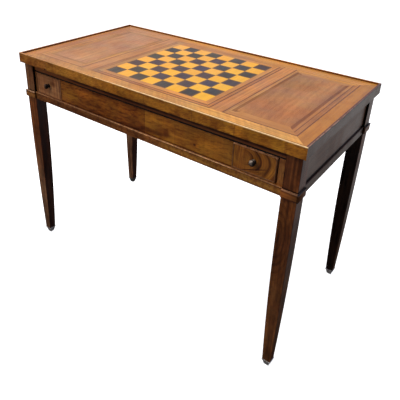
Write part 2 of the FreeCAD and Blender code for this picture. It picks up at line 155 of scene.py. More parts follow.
def make_camera():
    """A camera at a place, turned by azimuth and elevation, then rolled about its own line of sight."""
    azimuth, elevation, roll = (
        math.radians(angle) for angle in (camera_azimuth, camera_elevation, camera_roll)
    )
    back = Vector((
        math.sin(azimuth) * math.cos(elevation),
        -math.cos(azimuth) * math.cos(elevation),
        math.sin(elevation),
    ))
    right = (-back).cross(Vector((0, 0, 1))).normalized()
    up = right.cross(-back)
    across = math.cos(roll) * right + math.sin(roll) * up
    upward = math.cos(roll) * up - math.sin(roll) * right
    matrix = Matrix((across, upward, back)).transposed().to_4x4()
    matrix.translation = Vector(camera_place)
    data = bpy.data.cameras.new("camera")
    data.sensor_width = camera_sensor
    data.lens = camera_lens
    data.shift_x, data.shift_y = camera_shift
    camera = bpy.data.objects.new("camera", data)
    camera.matrix_world = matrix
    bpy.context.scene.collection.objects.link(camera)
    bpy.context.scene.camera = camera


def make_lamps():
    """The area lamps of the table above."""
    for name, (place, aim, width, depth, power, colour) in lamps.items():
        data = bpy.data.lights.new(name, "AREA")
        data.shape = "RECTANGLE"
        data.size, data.size_y = width, depth
        data.energy = power
        data.color = colour
        lamp = bpy.data.objects.new(name, data)
        lamp.location = place
        lamp.rotation_euler = (Vector(aim) - Vector(place)).to_track_quat("-Z", "Y").to_euler()
        lamp.visible_glossy = name == "glint"
        bpy.context.scene.collection.objects.link(lamp)


# ---- a short way to write node trees ----

class Value:
    """What a node puts out, to reckon with: + - * / and abs, and > and <, which give 1 or 0."""

    def __init__(self, tree, socket):
        self.tree, self.socket = tree, socket

    def __add__(self, other):
        return self.tree.math("ADD", self, other)

    def __sub__(self, other):
        return self.tree.math("SUBTRACT", self, other)

    def __rsub__(self, other):
        return self.tree.math("SUBTRACT", other, self)

    def __mul__(self, other):
        return self.tree.math("MULTIPLY", self, other)

    def __truediv__(self, other):
        return self.tree.math("DIVIDE", self, other)

    def __gt__(self, other):
        return self.tree.math("GREATER_THAN", self, other)

    def __lt__(self, other):
        return self.tree.math("LESS_THAN", self, other)

    def __abs__(self):
        return self.tree.math("ABSOLUTE", self)


class Tree:
    """Adds nodes to a node tree. An input may be given as a number, a colour or a Value."""

    def __init__(self, tree):
        self.tree = tree

    def node(self, kind, inputs=None, **settings):
        """A new node with its settings and its inputs, which are named or numbered."""
        made = self.tree.nodes.new(kind)
        for name, value in settings.items():
            setattr(made, name, value)
        self.feed(made, inputs or {})
        return made

    def feed(self, node, inputs):
        for name, value in inputs.items():
            self.put(node.inputs[name], value)

    def put(self, socket, value):
        if isinstance(value, Value):
            self.tree.links.new(value.socket, socket)
        else:
            socket.default_value = value

    def out(self, node, output=0):
        """One output of a node, by name or number."""
        return Value(self, node.outputs[output])

    def outputs(self, node):
        """All outputs of a node by name."""
        return {socket.name: Value(self, socket) for socket in node.outputs}

    def math(self, operation, *values, clamp=False):
        return self.out(self.node("ShaderNodeMath", dict(enumerate(values)), operation=operation,
                                  use_clamp=clamp))

    def larger(self, a, b):
        return self.math("MAXIMUM", a, b)

    def vector(self, operation, *values):
        made = self.node("ShaderNodeVectorMath", dict(enumerate(values)), operation=operation)
        return self.out(made, "Value" if operation == "LENGTH" else "Vector")

    def split(self, vector):
        made = self.node("ShaderNodeSeparateXYZ", {0: vector})
        return [self.out(made, axis) for axis in range(3)]

    def join(self, x, y, z):
        return self.out(self.node("ShaderNodeCombineXYZ", {0: x, 1: y, 2: z}))

    def mix(self, factor, a, b, blend="MIX"):
        """The colour a where factor is 0 and b, or what the blend makes of both, where it is 1."""
        made = self.node("ShaderNodeMix", data_type="RGBA", blend_type=blend)
        self.feed(made, {0: factor, 6: with_alpha(a), 7: with_alpha(b)})
        return self.out(made, 2)

    def pick(self, factor, a, b):
        """The number a where factor is 0 and b where it is 1."""
        return self.out(self.node("ShaderNodeMix", {0: factor, 2: a, 3: b}, data_type="FLOAT"))

    def ramp(self, value, low, high, start=0.0, end=1.0):
        """start below low, end above high and a smooth step between them."""
        given = dict(enumerate((value, low, high, start, end)))
        return self.out(self.node("ShaderNodeMapRange", given, interpolation_type="SMOOTHSTEP"))

    def noise(self, vector, scale=1.0, detail=2.0, roughness=0.5, distortion=0.0):
        return self.out(self.node("ShaderNodeTexNoise", {
            "Vector": vector, "Scale": scale, "Detail": detail, "Roughness": roughness,
            "Distortion": distortion}))


class Coat(Tree):
    """The tree of one finish: a point's place, the wood's figure there and the colour so far."""

    def __init__(self, tree):
        super().__init__(tree)
        self.position = self.out(self.node("ShaderNodeTexCoord"), "Object")
        self.x, self.y, self.z = self.split(self.position)
        self.grain = self.colour = None

    def cover(self, mask, over):
        """Lays a colour over the coat where mask is 1."""
        self.colour = self.mix(mask, self.colour, over)

    def tint(self, mask, by):
        """Multiplies the coat by a colour where mask is 1."""
        self.colour = self.mix(mask, self.colour, by, "MULTIPLY")

    def clouds(self, stretch, low, high, start=0.0, end=1.0, detail=2.0, roughness=0.5):
        """Clouds at the place, stretched evenly or along each axis."""
        each = stretch if isinstance(stretch, tuple) else (stretch, stretch, stretch)
        return placed(self, clouds_group, Vector=self.position, Stretch=each, Detail=detail,
                      Roughness=roughness, Low=low, High=high, Start=start, End=end)["Clouds"]

    def spot(self, centre, radii, soft=0.5):
        """1 inside an ellipsoid about centre, falling to 0 outside it."""
        return placed(self, spot_group, Vector=self.position, Centre=centre, Radii=radii, Soft=soft)["Spot"]

    def line(self, value, place, half_width, soft):
        """1 where a value is within half_width of place, falling to 0 over soft."""
        return placed(self, line_group, Value=value, Place=place, Half_Width=half_width, Soft=soft)["Line"]

    def front_spot(self, x, z, wide, tall, soft=0.5):
        """A spot on the front of the frieze or of a drawer."""
        return self.spot((x, front_y, z), (wide, 0.02, tall), soft)

    def wear(self):
        """The wear that a modelled piece carries at its points."""
        return self.out(self.node("ShaderNodeAttribute", attribute_name="wear"), "Fac")

    def bump(self, height, strength, distance):
        inputs = {"Height": height, "Strength": strength, "Distance": distance}
        return self.out(self.node("ShaderNodeBump", inputs))


def with_alpha(value):
    """A colour of three numbers gets the fourth that a socket wants; anything else stays as it is."""
    return (*value, 1.0) if isinstance(value, tuple) and len(value) == 3 else value


def scaled(base, by):
    """A colour times a number or another colour, no brighter than white."""
    each = by if isinstance(by, tuple) else (by, by, by)
    return tuple(min(1.0, b * k) for b, k in zip(base, each))


def new_group(name, inputs, outputs):
    """An empty node group with named sockets: its tree, its inputs as Values and its output sockets."""
    tree = bpy.data.node_groups.new(name, "ShaderNodeTree")
    for label, value in inputs.items():
        kind = "NodeSocketFloat" if isinstance(value, float) else "NodeSocketVector"
        socket = tree.interface.new_socket(label, in_out="INPUT", socket_type=kind)
        if value is not None:
            socket.default_value = value
    for label in outputs:
        tree.interface.new_socket(label, in_out="OUTPUT", socket_type="NodeSocketFloat")
    t = Tree(tree)
    return t, t.outputs(t.node("NodeGroupInput")), t.node("NodeGroupOutput").inputs


def placed(t, group, **inputs):
    """A group placed in a tree; an input's name has _ where the socket's has a space."""
    given = {name.replace("_", " "): value for name, value in inputs.items()}
    return t.outputs(t.node("ShaderNodeGroup", given, node_tree=group))


# ---- effects that many finishes share ----

def make_grain():
    """Wood figure on a vector whose X runs along the grain: broad streaks, year rings that wander, fine
    fibres, short dark pores and a slow mottle, each from 0 to 1."""
    t, given, out = new_group(
        "wood_grain",
        {"Vector": None, "Streaks": 110.0, "Stretch": 2.4, "Wander": 0.010, "Rings": 45.0},
        ("Streaks", "Rings", "Fibres", "Pores", "Mottle"),
    )
    x, y, z = t.split(given["Vector"])
    slow = t.noise(t.join(x * 3.2, y * 8.0, z * 8.0))
    quick = t.noise(t.join(x * 22.0, y * 40.0, z * 40.0), detail=1.0)
    sway = (slow - 0.5) * given["Wander"] + (quick - 0.5) * 0.0012
    across, deep = y + sway, z + sway
    stretched = t.join(x * given["Stretch"], across * given["Streaks"], deep * given["Streaks"])
    t.put(out["Streaks"], t.ramp(t.noise(stretched, detail=5.0, roughness=0.62), 0.32, 0.68))
    turn = t.noise(t.join(x * 1.3, y * 7.0, z * 7.0), detail=1.0)
    ring = t.math("FRACT", across * given["Rings"] + turn * 3.2)
    t.put(out["Rings"], t.ramp(ring, 0.25, 0.88) * t.ramp(ring, 0.9, 1.0, 1.0, 0.0))
    fibres = t.join(x * 30.0, across * 1500.0, deep * 1500.0)
    t.put(out["Fibres"], t.ramp(t.noise(fibres), 0.3, 0.7))
    pores = t.join(x * 110.0, across * 1900.0, deep * 1900.0)
    t.put(out["Pores"], t.ramp(t.noise(pores, detail=1.0), 0.6, 0.72))
    mottle = t.join(x * 9.0, y * 17.0, z * 17.0)
    t.put(out["Mottle"], t.ramp(t.noise(mottle, detail=3.0, roughness=0.55), 0.3, 0.7))
    return t.tree


def make_handling():
    """Marks of use: fine scratches in two directions, smears in the polish and specks, each 0 to 1."""
    t, given, out = new_group("handling", {"Vector": None}, ("Scratches", "Smears", "Specks"))
    marks = []
    for angle, seed in ((0.5, 3.1), (-1.05, 8.7)):
        turned = t.out(t.node("ShaderNodeVectorRotate", {"Vector": given["Vector"], "Angle": angle},
                              rotation_type="Z_AXIS"))
        x, y, z = t.split(turned)
        drawn = t.join(x * 9.0 + seed, y * 420.0, z * 420.0)
        fine = t.ramp(t.noise(drawn, detail=1.0), 0.70, 0.74)
        marks.append(fine * t.ramp(t.noise(turned, scale=7.0), 0.5, 0.62))
    t.put(out["Scratches"], t.larger(*marks))
    t.put(out["Smears"], t.ramp(t.noise(given["Vector"], scale=9.0, detail=4.0, distortion=0.6), 0.35, 0.7))
    cells = t.node("ShaderNodeTexVoronoi", {"Vector": given["Vector"], "Scale": 60.0})
    near = t.ramp(t.out(cells, "Distance"), 0.03, 0.07, 1.0, 0.0)
    t.put(out["Specks"], near * (t.split(t.out(cells, "Color"))[0] > 0.8))
    return t.tree


def make_mitre():
    """For strips that frame a rectangle: how far a point lies along its strip and across it, and whether
    the strip runs along Y. The rectangle's centre lies at Centre on both sides of the table."""
    t, given, out = new_group(
        "mitred_frame", {"Vector": None, "Centre": 0.0, "Half X": 1.0, "Half Y": 1.0},
        ("Along", "Across", "Side"),
    )
    x, y, _ = t.split(given["Vector"])
    from_edge_x = given["Half X"] - abs(abs(x) - given["Centre"])
    from_edge_y = given["Half Y"] - abs(y)
    side = from_edge_x < from_edge_y
    across = t.pick(side, y, x)
    t.put(out["Along"], t.pick(side, x, y) + t.math("SIGN", across) * 0.7)
    t.put(out["Across"], across)
    t.put(out["Side"], side)
    return t.tree


def make_nest():
    """Nested rings about a centre, as where a branch leaves the trunk: 0 to 1, moved out by First."""
    t, given, out = new_group(
        "nested_rings",
        {"Vector": None, "Centre": None, "Flatten": 1.3, "First": 0.0, "Spacing": 0.02, "Unrest": 0.012},
        ("Rings", "Distance"),
    )
    x, _, z = t.split(t.vector("SUBTRACT", given["Vector"], given["Centre"]))
    shove = (t.noise(given["Vector"], scale=15.0) - 0.5) * given["Unrest"]
    away = t.vector("LENGTH", t.join(x + shove, 0.0, (z + shove) * given["Flatten"]))
    t.put(out["Distance"], away)
    beyond = away - given["First"]
    ring = t.math("FRACT", beyond / given["Spacing"])
    wide = t.ramp(ring, 0.35, 0.85) * t.ramp(ring, 0.88, 1.0, 1.0, 0.0)
    fine_ring = t.math("FRACT", beyond / (given["Spacing"] * 0.31))
    fine = t.ramp(fine_ring, 0.4, 0.9) * t.ramp(fine_ring, 0.92, 1.0, 1.0, 0.0)
    t.put(out["Rings"], t.math("ADD", wide * 0.75, fine * 0.3, clamp=True))
    return t.tree


def make_clouds():
    """Noise on a place stretched along each axis, as a smooth step: Start below Low and End above High."""
    t, given, out = new_group(
        "clouds",
        {"Vector": None, "Stretch": None, "Detail": 2.0, "Roughness": 0.5, "Low": 0.4, "High": 0.6,
         "Start": 0.0, "End": 1.0},
        ("Clouds",),
    )
    stretched = t.vector("MULTIPLY", given["Vector"], given["Stretch"])
    noise = t.noise(stretched, detail=given["Detail"], roughness=given["Roughness"])
    t.put(out["Clouds"], t.ramp(noise, given["Low"], given["High"], given["Start"], given["End"]))
    return t.tree


def make_spot():
    """1 inside an ellipsoid of Radii about Centre and 0 outside it, with Soft on either side of its edge."""
    t, given, out = new_group(
        "spot", {"Vector": None, "Centre": None, "Radii": None, "Soft": 0.5}, ("Spot",))
    away = t.vector("SUBTRACT", given["Vector"], given["Centre"])
    away = t.vector("LENGTH", t.vector("DIVIDE", away, given["Radii"]))
    t.put(out["Spot"], t.ramp(away, 1.0 - given["Soft"], given["Soft"] + 1.0, 1.0, 0.0))
    return t.tree


def make_line():
    """1 where Value is within Half Width of Place, falling to 0 over Soft."""
    t, given, out = new_group(
        "line", {"Value": 0.0, "Place": 0.0, "Half Width": 0.001, "Soft": 0.001}, ("Line",))
    away = abs(given["Value"] - given["Place"])
    t.put(out["Line"], t.ramp(away, given["Half Width"], given["Half Width"] + given["Soft"], 1.0, 0.0))
    return t.tree


def make_squares():
    """The squares of the chess board: a point's column and row, three random numbers for its square, how far
    it lies from the square's middle (0.5 at the edge), and the glue line at the edge."""
    t, given, out = new_group(
        "board_squares", {"Vector": None},
        ("Column", "Row", "First", "Second", "Third", "From Middle", "Glue"),
    )
    counted = [(value + board_half) / square_size for value in t.split(given["Vector"])[:2]]
    column, row = [t.math("FLOOR", value) for value in counted]
    random = t.node("ShaderNodeTexWhiteNoise", {"Vector": t.join(column, row, 4.0)})
    first, second, third = t.split(t.out(random, "Color"))
    from_middle = t.larger(*[abs(t.math("FRACT", value) - 0.5) for value in counted])
    glue = t.ramp(from_middle, 0.490, 0.497)
    for socket, value in zip(out, (column, row, first, second, third, from_middle, glue)):
        t.put(socket, value)
    return t.tree


grain_group = make_grain()
handling_group = make_handling()
mitre_group = make_mitre()
nest_group = make_nest()
clouds_group = make_clouds()
spot_group = make_spot()
line_group = make_line()
squares_group = make_squares()


# ---- finishes ----

finishes = {}


def new_material(name):
    """A material with an empty tree: the material, its coat and its surface shader."""
    material = bpy.data.materials.new(name)
    material.use_nodes = True
    material.node_tree.nodes.clear()
    t = Coat(material.node_tree)
    shader = t.node("ShaderNodeBsdfPrincipled")
    t.node("ShaderNodeOutputMaterial", {"Surface": t.out(shader)})
    return material, t, shader


# how the grain runs: each puts the direction of the grain first
def along_x(t):
    return t.join(t.x, t.z, t.y)


def along_y(t):
    return t.join(t.y, t.z, t.x)


def along_z(t):
    return t.join(t.z, t.x, t.y)


def flat_x(t):
    return t.position


def flat_y(t):
    return t.join(t.y, t.x, t.z)


wood_defaults = {
    "dark": (0.50, 0.40, 0.34),    # what the darkest figure multiplies the base by
    "light": (1.30, 1.34, 1.38),   # and the lightest
    "streaks": 0.55, "rings": 0.25, "mottle": 0.35, "pores": 0.30, "fibres": 0.18,
    "streak_count": 110.0, "ring_count": 45.0, "wander": 0.010, "stretch": 2.4,
    "warmth": 0.7, "roughness": 0.36, "specular": 0.5, "bump": 0.12,
    "dull_past_x": None,           # a piece whose near-black painted shade doesn't shine, and that is dull past this X
}


def wood(name, base, run=along_x, paint=None, **changes):
    """A polished wood. base is its mean colour, run turns the position so that X is along the grain, and
    paint may change the finished colour. The figure mixes a darker and a lighter form of the base."""
    look = {**wood_defaults, **changes}
    material, t, shader = new_material(name)
    t.grain = placed(t, grain_group, Vector=run(t), Streaks=look["streak_count"], Stretch=look["stretch"],
                     Wander=look["wander"], Rings=look["ring_count"])
    marks = placed(t, handling_group, Vector=t.position)
    tone = 0.5
    for label, share in (("Streaks", -look["streaks"]), ("Mottle", look["mottle"]),
                         ("Fibres", -look["fibres"])):
        tone = (t.grain[label] - 0.5) * share + tone
    tone = t.math("SUBTRACT", tone, t.grain["Rings"] * look["rings"], clamp=True)
    light = scaled(base, look["light"])
    t.colour = t.mix(tone, scaled(base, look["dark"]), light)
    t.tint(t.grain["Pores"] * look["pores"], pore_tone)
    t.tint(marks["Specks"] * 0.5, speck_tone)
    t.tint(t.clouds(24.0, 0.35, 0.65, detail=3.0) * look["warmth"], warm_tone)
    if paint:
        paint(t)
    t.cover(marks["Scratches"] * 0.12, light)
    if look["dull_past_x"]:
        # near-black painted shade doesn't shine, and the right-hand outer faces shine less
        near_black = t.ramp(t.out(t.node("ShaderNodeRGBToBW", {"Color": t.colour})), 0.008, 0.004)
        t.feed(shader, {"Metallic": t.larger(near_black, (t.x > look["dull_past_x"]) * 0.38)})
    t.feed(shader, {
        "Base Color": t.colour,
        "Roughness": t.grain["Pores"] * 0.15 + (marks["Smears"] * 0.14 + look["roughness"]),
        "Specular IOR Level": look["specular"],
        "Normal": t.bump(t.grain["Fibres"] * 0.35 - t.grain["Pores"] - marks["Scratches"] * 0.8,
                         look["bump"], 0.0004),
    })
    finishes[name] = material


def side_strips(t, centre, half_x, half_y):
    """1 on the strips of a mitred frame that run along Y."""
    return placed(t, mitre_group, Vector=t.position, Centre=centre, Half_X=half_x, Half_Y=half_y)["Side"]


def framed(centre, half_x, half_y):
    """The grain run of mitred strips round a rectangle."""
    def run(t):
        strip = placed(t, mitre_group, Vector=t.position, Centre=centre, Half_X=half_x, Half_Y=half_y)
        return t.join(strip["Along"], strip["Across"], t.z)
    return run


def paint_outer_banding(t):
    """The right and left strips are deeper than the front and back ones. The right one is clouded and the
    front one has faint slanting figure and painted light, brightest towards the right. Dark lines at the
    mitres."""
    x, y = t.x, t.y
    side = side_strips(t, 0.0, core_x, core_y)
    right = side * (x > 0.0)
    t.cover(right * 0.6, (0.656, 0.305, 0.066))
    t.tint(right * (t.clouds((60.0, 22.0, 0.0), 0.42, 0.64, detail=4.0) * 0.7), (0.84, 0.78, 0.74))
    t.tint(right, (0.80, 0.68, 0.44))
    t.tint(right * t.ramp(y, 0.05, -0.20), (0.98, 0.98, 0.90))
    t.tint(right * t.ramp(y, 0.0, 0.22), (0.94, 1.00, 1.30))
    t.tint(side * (x < 0.0), (0.67, 0.63, 0.90))
    front = (1.0 - side) * (y < 0.0)
    t.tint(front, (0.85, 0.88, 0.87))
    slanting = t.noise(t.join((x + y * 0.8) * 75.0, y * 12.0, 0.0), detail=3.0)
    t.tint(front, t.mix(t.ramp(slanting, 0.38, 0.62), (1.07, 1.07, 1.06), (0.91, 0.88, 0.85)))
    # painted light: the front strip darker and bluer to the left and brighter to the right
    t.tint(front * t.ramp(x, 0.0, -0.45), (0.83, 0.87, 1.16))
    t.tint(front * t.ramp(x, 0.05, 0.35), (1.47, 1.62, 1.70))
    back = (1.0 - side) * (y > 0.0)
    t.tint(back * t.ramp(x, -0.16, -0.34), (0.77, 0.78, 1.35))
    mitre = (core_x - abs(x)) - (core_y - abs(y))
    t.tint(t.line(mitre, 0.0, seam_half, 0.0005), (0.45, 0.38, 0.35))


def paint_board_border(t):
    """The narrow band between the two dark strings is browner, the front member is the brightest and the
    left one the palest."""
    out = t.larger(abs(t.x), abs(t.y))
    to_the_back = t.ramp(t.y, 0.200, outer_string, 1.0, 0.4)
    t.tint(t.ramp(out, outer_string, outer_string + 0.0015) * to_the_back, (0.76, 0.70, 0.76))
    front_tone = t.mix(t.ramp(t.x, -0.15, 0.15), (0.98, 1.08, 1.40), (1.15, 1.08, 0.92))
    t.tint(t.ramp(t.y, -0.185, -0.195), front_tone)
    t.tint(t.ramp(t.x, -0.186, -0.192), (0.88, 1.02, 1.40))


def paint_cross_band(t):
    """The left one is cooler."""
    t.tint(t.x < 0.0, (0.87, 0.95, 1.15))


def paint_board_string(t):
    """The strings behind the board are the most faded, and those to its left a little."""
    behind = t.ramp(t.y, 0.200, outer_string, 0.0, 0.6)
    t.cover(t.larger(behind, t.ramp(t.x, -0.200, -outer_string, 0.0, 0.4)), faded_string)


def paint_panel_string(t):
    """At the panels' ends the inner lines are faded, at the back all of them, and the left panel's outermost
    line is half faded."""
    end = 1.0 - side_strips(t, panel_centre_x, panel_half_x, panel_half_y)
    inner = t.ramp(abs(t.y), panel_half_y - 0.0030, panel_half_y - 0.0045)
    faded = end * t.pick(t.y > 0.0, inner * 0.85, 0.75)
    t.cover(t.larger(faded, (t.x < -0.460) * 0.5), faded_string)


def paint_panel_frame(golden_share, right_outer, right_inner, left):
    """The members at the right panel's ends are golden: in patches at the front, and only at the very edge
    at the back, with a plain tone between. The long members differ between the panels."""
    def paint(t):
        side = side_strips(t, panel_centre_x, panel_half_x, panel_half_y)
        end = 1.0 - side
        on_right = t.x > 0.0
        on_left = 1.0 - on_right
        outer = t.x > panel_centre_x
        t.tint(side * outer, right_outer)
        t.tint(side * (on_right - outer), right_inner)
        t.tint(on_left, left)
        t.tint(end * on_left, (0.98, 1.03, 1.35))
        mottle = t.grain["Mottle"]
        golden = t.mix(mottle, (0.470, 0.200, 0.042), (0.590, 0.270, 0.060))
        to_the_back = t.mix(t.ramp(t.y, -0.1, 0.1), (1.13, 1.03, 0.80), (1.26, 1.22, 0.75))
        golden = t.mix(1.0, golden, to_the_back, "MULTIPLY")
        plain = t.mix(mottle, (0.400, 0.172, 0.048), (0.470, 0.212, 0.062))
        patchy = t.ramp(t.x, 0.34, 0.43) * 0.30 + 0.35
        golden = t.mix(t.pick(t.y > 0.0, patchy, t.ramp(t.y, 0.199, 0.208)), plain, golden)
        share = t.pick(on_right, t.ramp(t.y, -0.1, 0.1, 0.15, 0.0), 1.0)
        t.cover(end * (share * golden_share), golden)
    return paint


def field_run(t):
    """Grain along Y that leans over as it goes back."""
    return t.join(t.y, t.x + t.y * 0.07, t.z)


def paint_field(t):
    """A redder cloud and pale flecks near the front, an olive cloud at the back; the left panel is paler."""
    for x, y, wide, deep, by in (
        # centre, half width and depth, tint
        (0.370, -0.105, 0.080, 0.045, (1.06, 0.95, 0.90)),
        (0.310, 0.125, 0.040, 0.080, (0.84, 0.88, 0.86)),
        (0.400, 0.110, 0.030, 0.060, (1.08, 1.09, 1.06)),
        (0.400, -0.020, 0.020, 0.070, (1.07, 1.08, 1.02)),
        (0.430, 0.000, 0.010, 0.190, (0.90, 0.88, 0.88)),
        (-0.385, 0.060, 0.040, 0.100, (0.92, 0.93, 1.00)),
        (-0.330, 0.120, 0.040, 0.050, (1.04, 1.00, 0.96)),
    ):
        t.tint(t.spot((x, y, surface_z), (wide, deep, 1.0), 0.8), by)
    leaning = t.noise(t.join((t.x + t.y * 0.45) * 95.0, t.y * 20.0, 0.0), detail=3.0)
    t.tint(t.ramp(leaning, 0.50, 0.72) * 0.45, (0.80, 0.74, 0.70))
    flecks = t.clouds((90.0, 26.0, 0.0), 0.60, 0.72)
    flecks = flecks * t.spot((0.350, -0.115, surface_z), (0.075, 0.070, 1.0), 0.8)
    t.tint(flecks * 0.6, (1.35, 1.38, 1.4))
    t.tint(t.ramp(t.y, -0.13, -0.187) * (t.x > 0.0), (1.12, 1.08, 0.84))
    t.tint(t.x < 0.0, (1.02, 1.12, 1.46))
    t.tint(t.ramp(t.y, 0.0, -0.15) * (t.x < 0.0), (1.05, 1.08, 1.08))


def squares_run(t):
    """Each square's veneer is cut from another place, so its figure starts elsewhere."""
    square = placed(t, squares_group, Vector=t.position)
    return t.join(t.y + square["Column"] * 1.7, t.x + square["Row"] * 0.9, t.z)


def paint_light_squares(t):
    """Each square has its own tone; as a painted sheen they are paler and pinker to the back left and
    yellower to the front right."""
    square = placed(t, squares_group, Vector=t.position)
    t.tint(square["First"] * 0.8, (0.96, 0.88, 0.78))
    t.tint((square["Second"] > 0.6) * 0.35, (1.00, 0.93, 1.25))
    # painted sheen: paler and pinker to the back left, yellower to the front right
    across = t.x - t.y
    t.tint(t.ramp(across, 0.0, -0.30), (0.99, 0.95, 1.50))
    t.tint(t.ramp(across, 0.0, 0.30), (0.98, 1.00, 0.60))
    t.tint(square["Glue"], glue_tone)


def paint_dark_squares(t):
    """Stained squares that lean a little to blue, violet or green, are paler to the left, and wear brown at
    their edges."""
    square = placed(t, squares_group, Vector=t.position)
    t.tint(t.ramp(square["First"], 0.35, 0.75), (0.84, 0.92, 1.45))
    t.tint(t.ramp(square["Second"], 0.45, 0.75), (1.12, 0.90, 1.45))
    t.tint(t.ramp(square["Third"], 0.50, 0.80), (0.90, 1.00, 1.22))
    t.tint(1.0, t.mix(t.ramp(t.x, -0.19, 0.19), (1.16, 1.20, 1.16), (0.88, 0.92, 0.90)))
    worn = t.clouds(70.0, 0.35, 0.65, detail=3.0)
    rim = t.ramp(square["From Middle"], 0.30, 0.49)
    t.cover(rim * (worn * 0.5 + 0.45), (0.170, 0.082, 0.022))
    t.tint(square["Glue"], glue_tone)


def paint_lipping(t):
    """On the front: slanting figure, blots, broad upright bars, seams between leaves, a dark nick and a worn
    golden arris brightened by a painted highlight. On all four: stains along the bottom, inner faces darkened
    by painted shade, a golden rim at the left and a painted highlight on the right arris."""
    x, y, z = t.x, t.y, t.z
    front = y < -core_y
    slanting = t.join((x + z * 0.6) * 70.0, y * 60.0, (z - x * 0.45) * 330.0)
    figure = t.ramp(t.noise(slanting, detail=3.0, roughness=0.6), 0.40, 0.68)
    t.tint(front * figure, (0.62, 0.54, 0.46))
    t.tint(front * (t.clouds(48.0, 0.45, 0.66, detail=4.0) * 0.75), (0.68, 0.62, 0.56))
    t.tint(front, (1.05, 1.05, 1.05))
    leaf = t.node("ShaderNodeTexWhiteNoise", {"Vector": t.join(t.math("FLOOR", x * 6.1), 2.0, 0.0)})
    t.tint(front * (t.out(leaf, "Value") * 0.6), (0.90, 0.86, 0.80))
    t.tint(front * (t.clouds((38.0, 0.0, 0.0), 0.52, 0.70) * 0.55), (0.74, 0.66, 0.60))
    for seam in (-0.3784, 0.0355, 0.201, 0.3288):
        t.tint(front * t.line(x, seam, seam_half, 0.0007), (0.50, 0.42, 0.38))
    for place, width, by in ((0.268, 0.012, (0.70, 0.60, 0.52)), (0.340, 0.010, (1.25, 1.22, 1.05)),
                             (0.467, 0.004, (0.80, 0.72, 0.66)), (0.420, 0.012, (0.85, 0.80, 0.75))):
        t.tint(front * t.line(x, place, width * 0.5, width), by)
    t.tint(front * t.ramp(x, 0.12, 0.20), (1.15, 1.17, 1.00))
    t.tint(front * t.ramp(x, -0.377, -0.380), (1.02, 0.98, 1.40))
    t.tint(front * t.ramp(x, 0.0, -0.3), (0.98, 1.03, 1.80))
    nick = t.spot((-0.3877, -cad_high.y, lipping_bottom_z + 0.0035), (0.004, 0.01, 0.003))
    t.tint(nick, (0.12, 0.08, 0.07))
    bottom = t.ramp(z, lipping_bottom_z, lipping_bottom_z + 0.007, 1.0, 0.0)
    t.tint(bottom * t.clouds(35.0, 0.35, 0.65, detail=3.0) * 0.8, (0.40, 0.32, 0.32))
    left_strip = (-core_x - x) > (abs(y) - core_y)
    left_rim = (z > surface_z) * (x > 0.0003 - cad_high.x)
    t.tint(left_strip * left_rim, (3.40, 3.30, 0.70))
    # painted shade on the inner faces of the back and left lippings
    past_back = t.ramp(y, core_y + 0.0012, core_y + 0.0004)
    past_left = t.ramp(x, -core_x - 0.0012, -core_x - 0.0004)
    inner = t.pick(front, t.larger(past_back, past_left), 0.0)
    t.tint(inner * (z > surface_z) * (z < table_top_z - 0.0008), (0.30, 0.24, 0.22))
    broken = t.clouds(60.0, 0.25, 0.6)
    # painted highlight along the right arris, fading towards the back
    right_arris_highlight = t.ramp(z, table_top_z - 0.0025, table_top_z - 0.0010) * (x > cad_high.x - 0.0025)
    t.cover(right_arris_highlight * broken * t.ramp(y, 0.15, -0.15, 0.08, 0.40), (0.72, 0.42, 0.28))
    # the front arris: worn gold, brightened by a painted highlight
    arris = t.ramp(z, table_top_z - 0.0030, table_top_z - 0.0010) * (y < 0.003 - cad_high.y)
    t.cover(arris * t.ramp(x, -0.30, 0.05, 0.22, 1.0) * (broken * 0.3 + 0.7), (1.0, 0.69, 0.33))


def paint_upper_rail(t):
    """A painted shadow just under the lipping, except at the left end, and browner below."""
    front = t.y < 0.0
    t.tint(front, (1.50, 1.42, 1.15))
    # painted shadow cast by the lipping onto the rail
    lip_shadow = t.ramp(t.z, frieze_high.z + 0.0085, frieze_high.z + 0.0130) * t.ramp(t.x, -0.34, -0.26)
    uneven = t.clouds((28.0, 0.0, 0.0), 0.30, 0.55, 0.45, 1.0, detail=3.0)
    t.tint(front * (lip_shadow * uneven), (0.26, 0.22, 0.34))


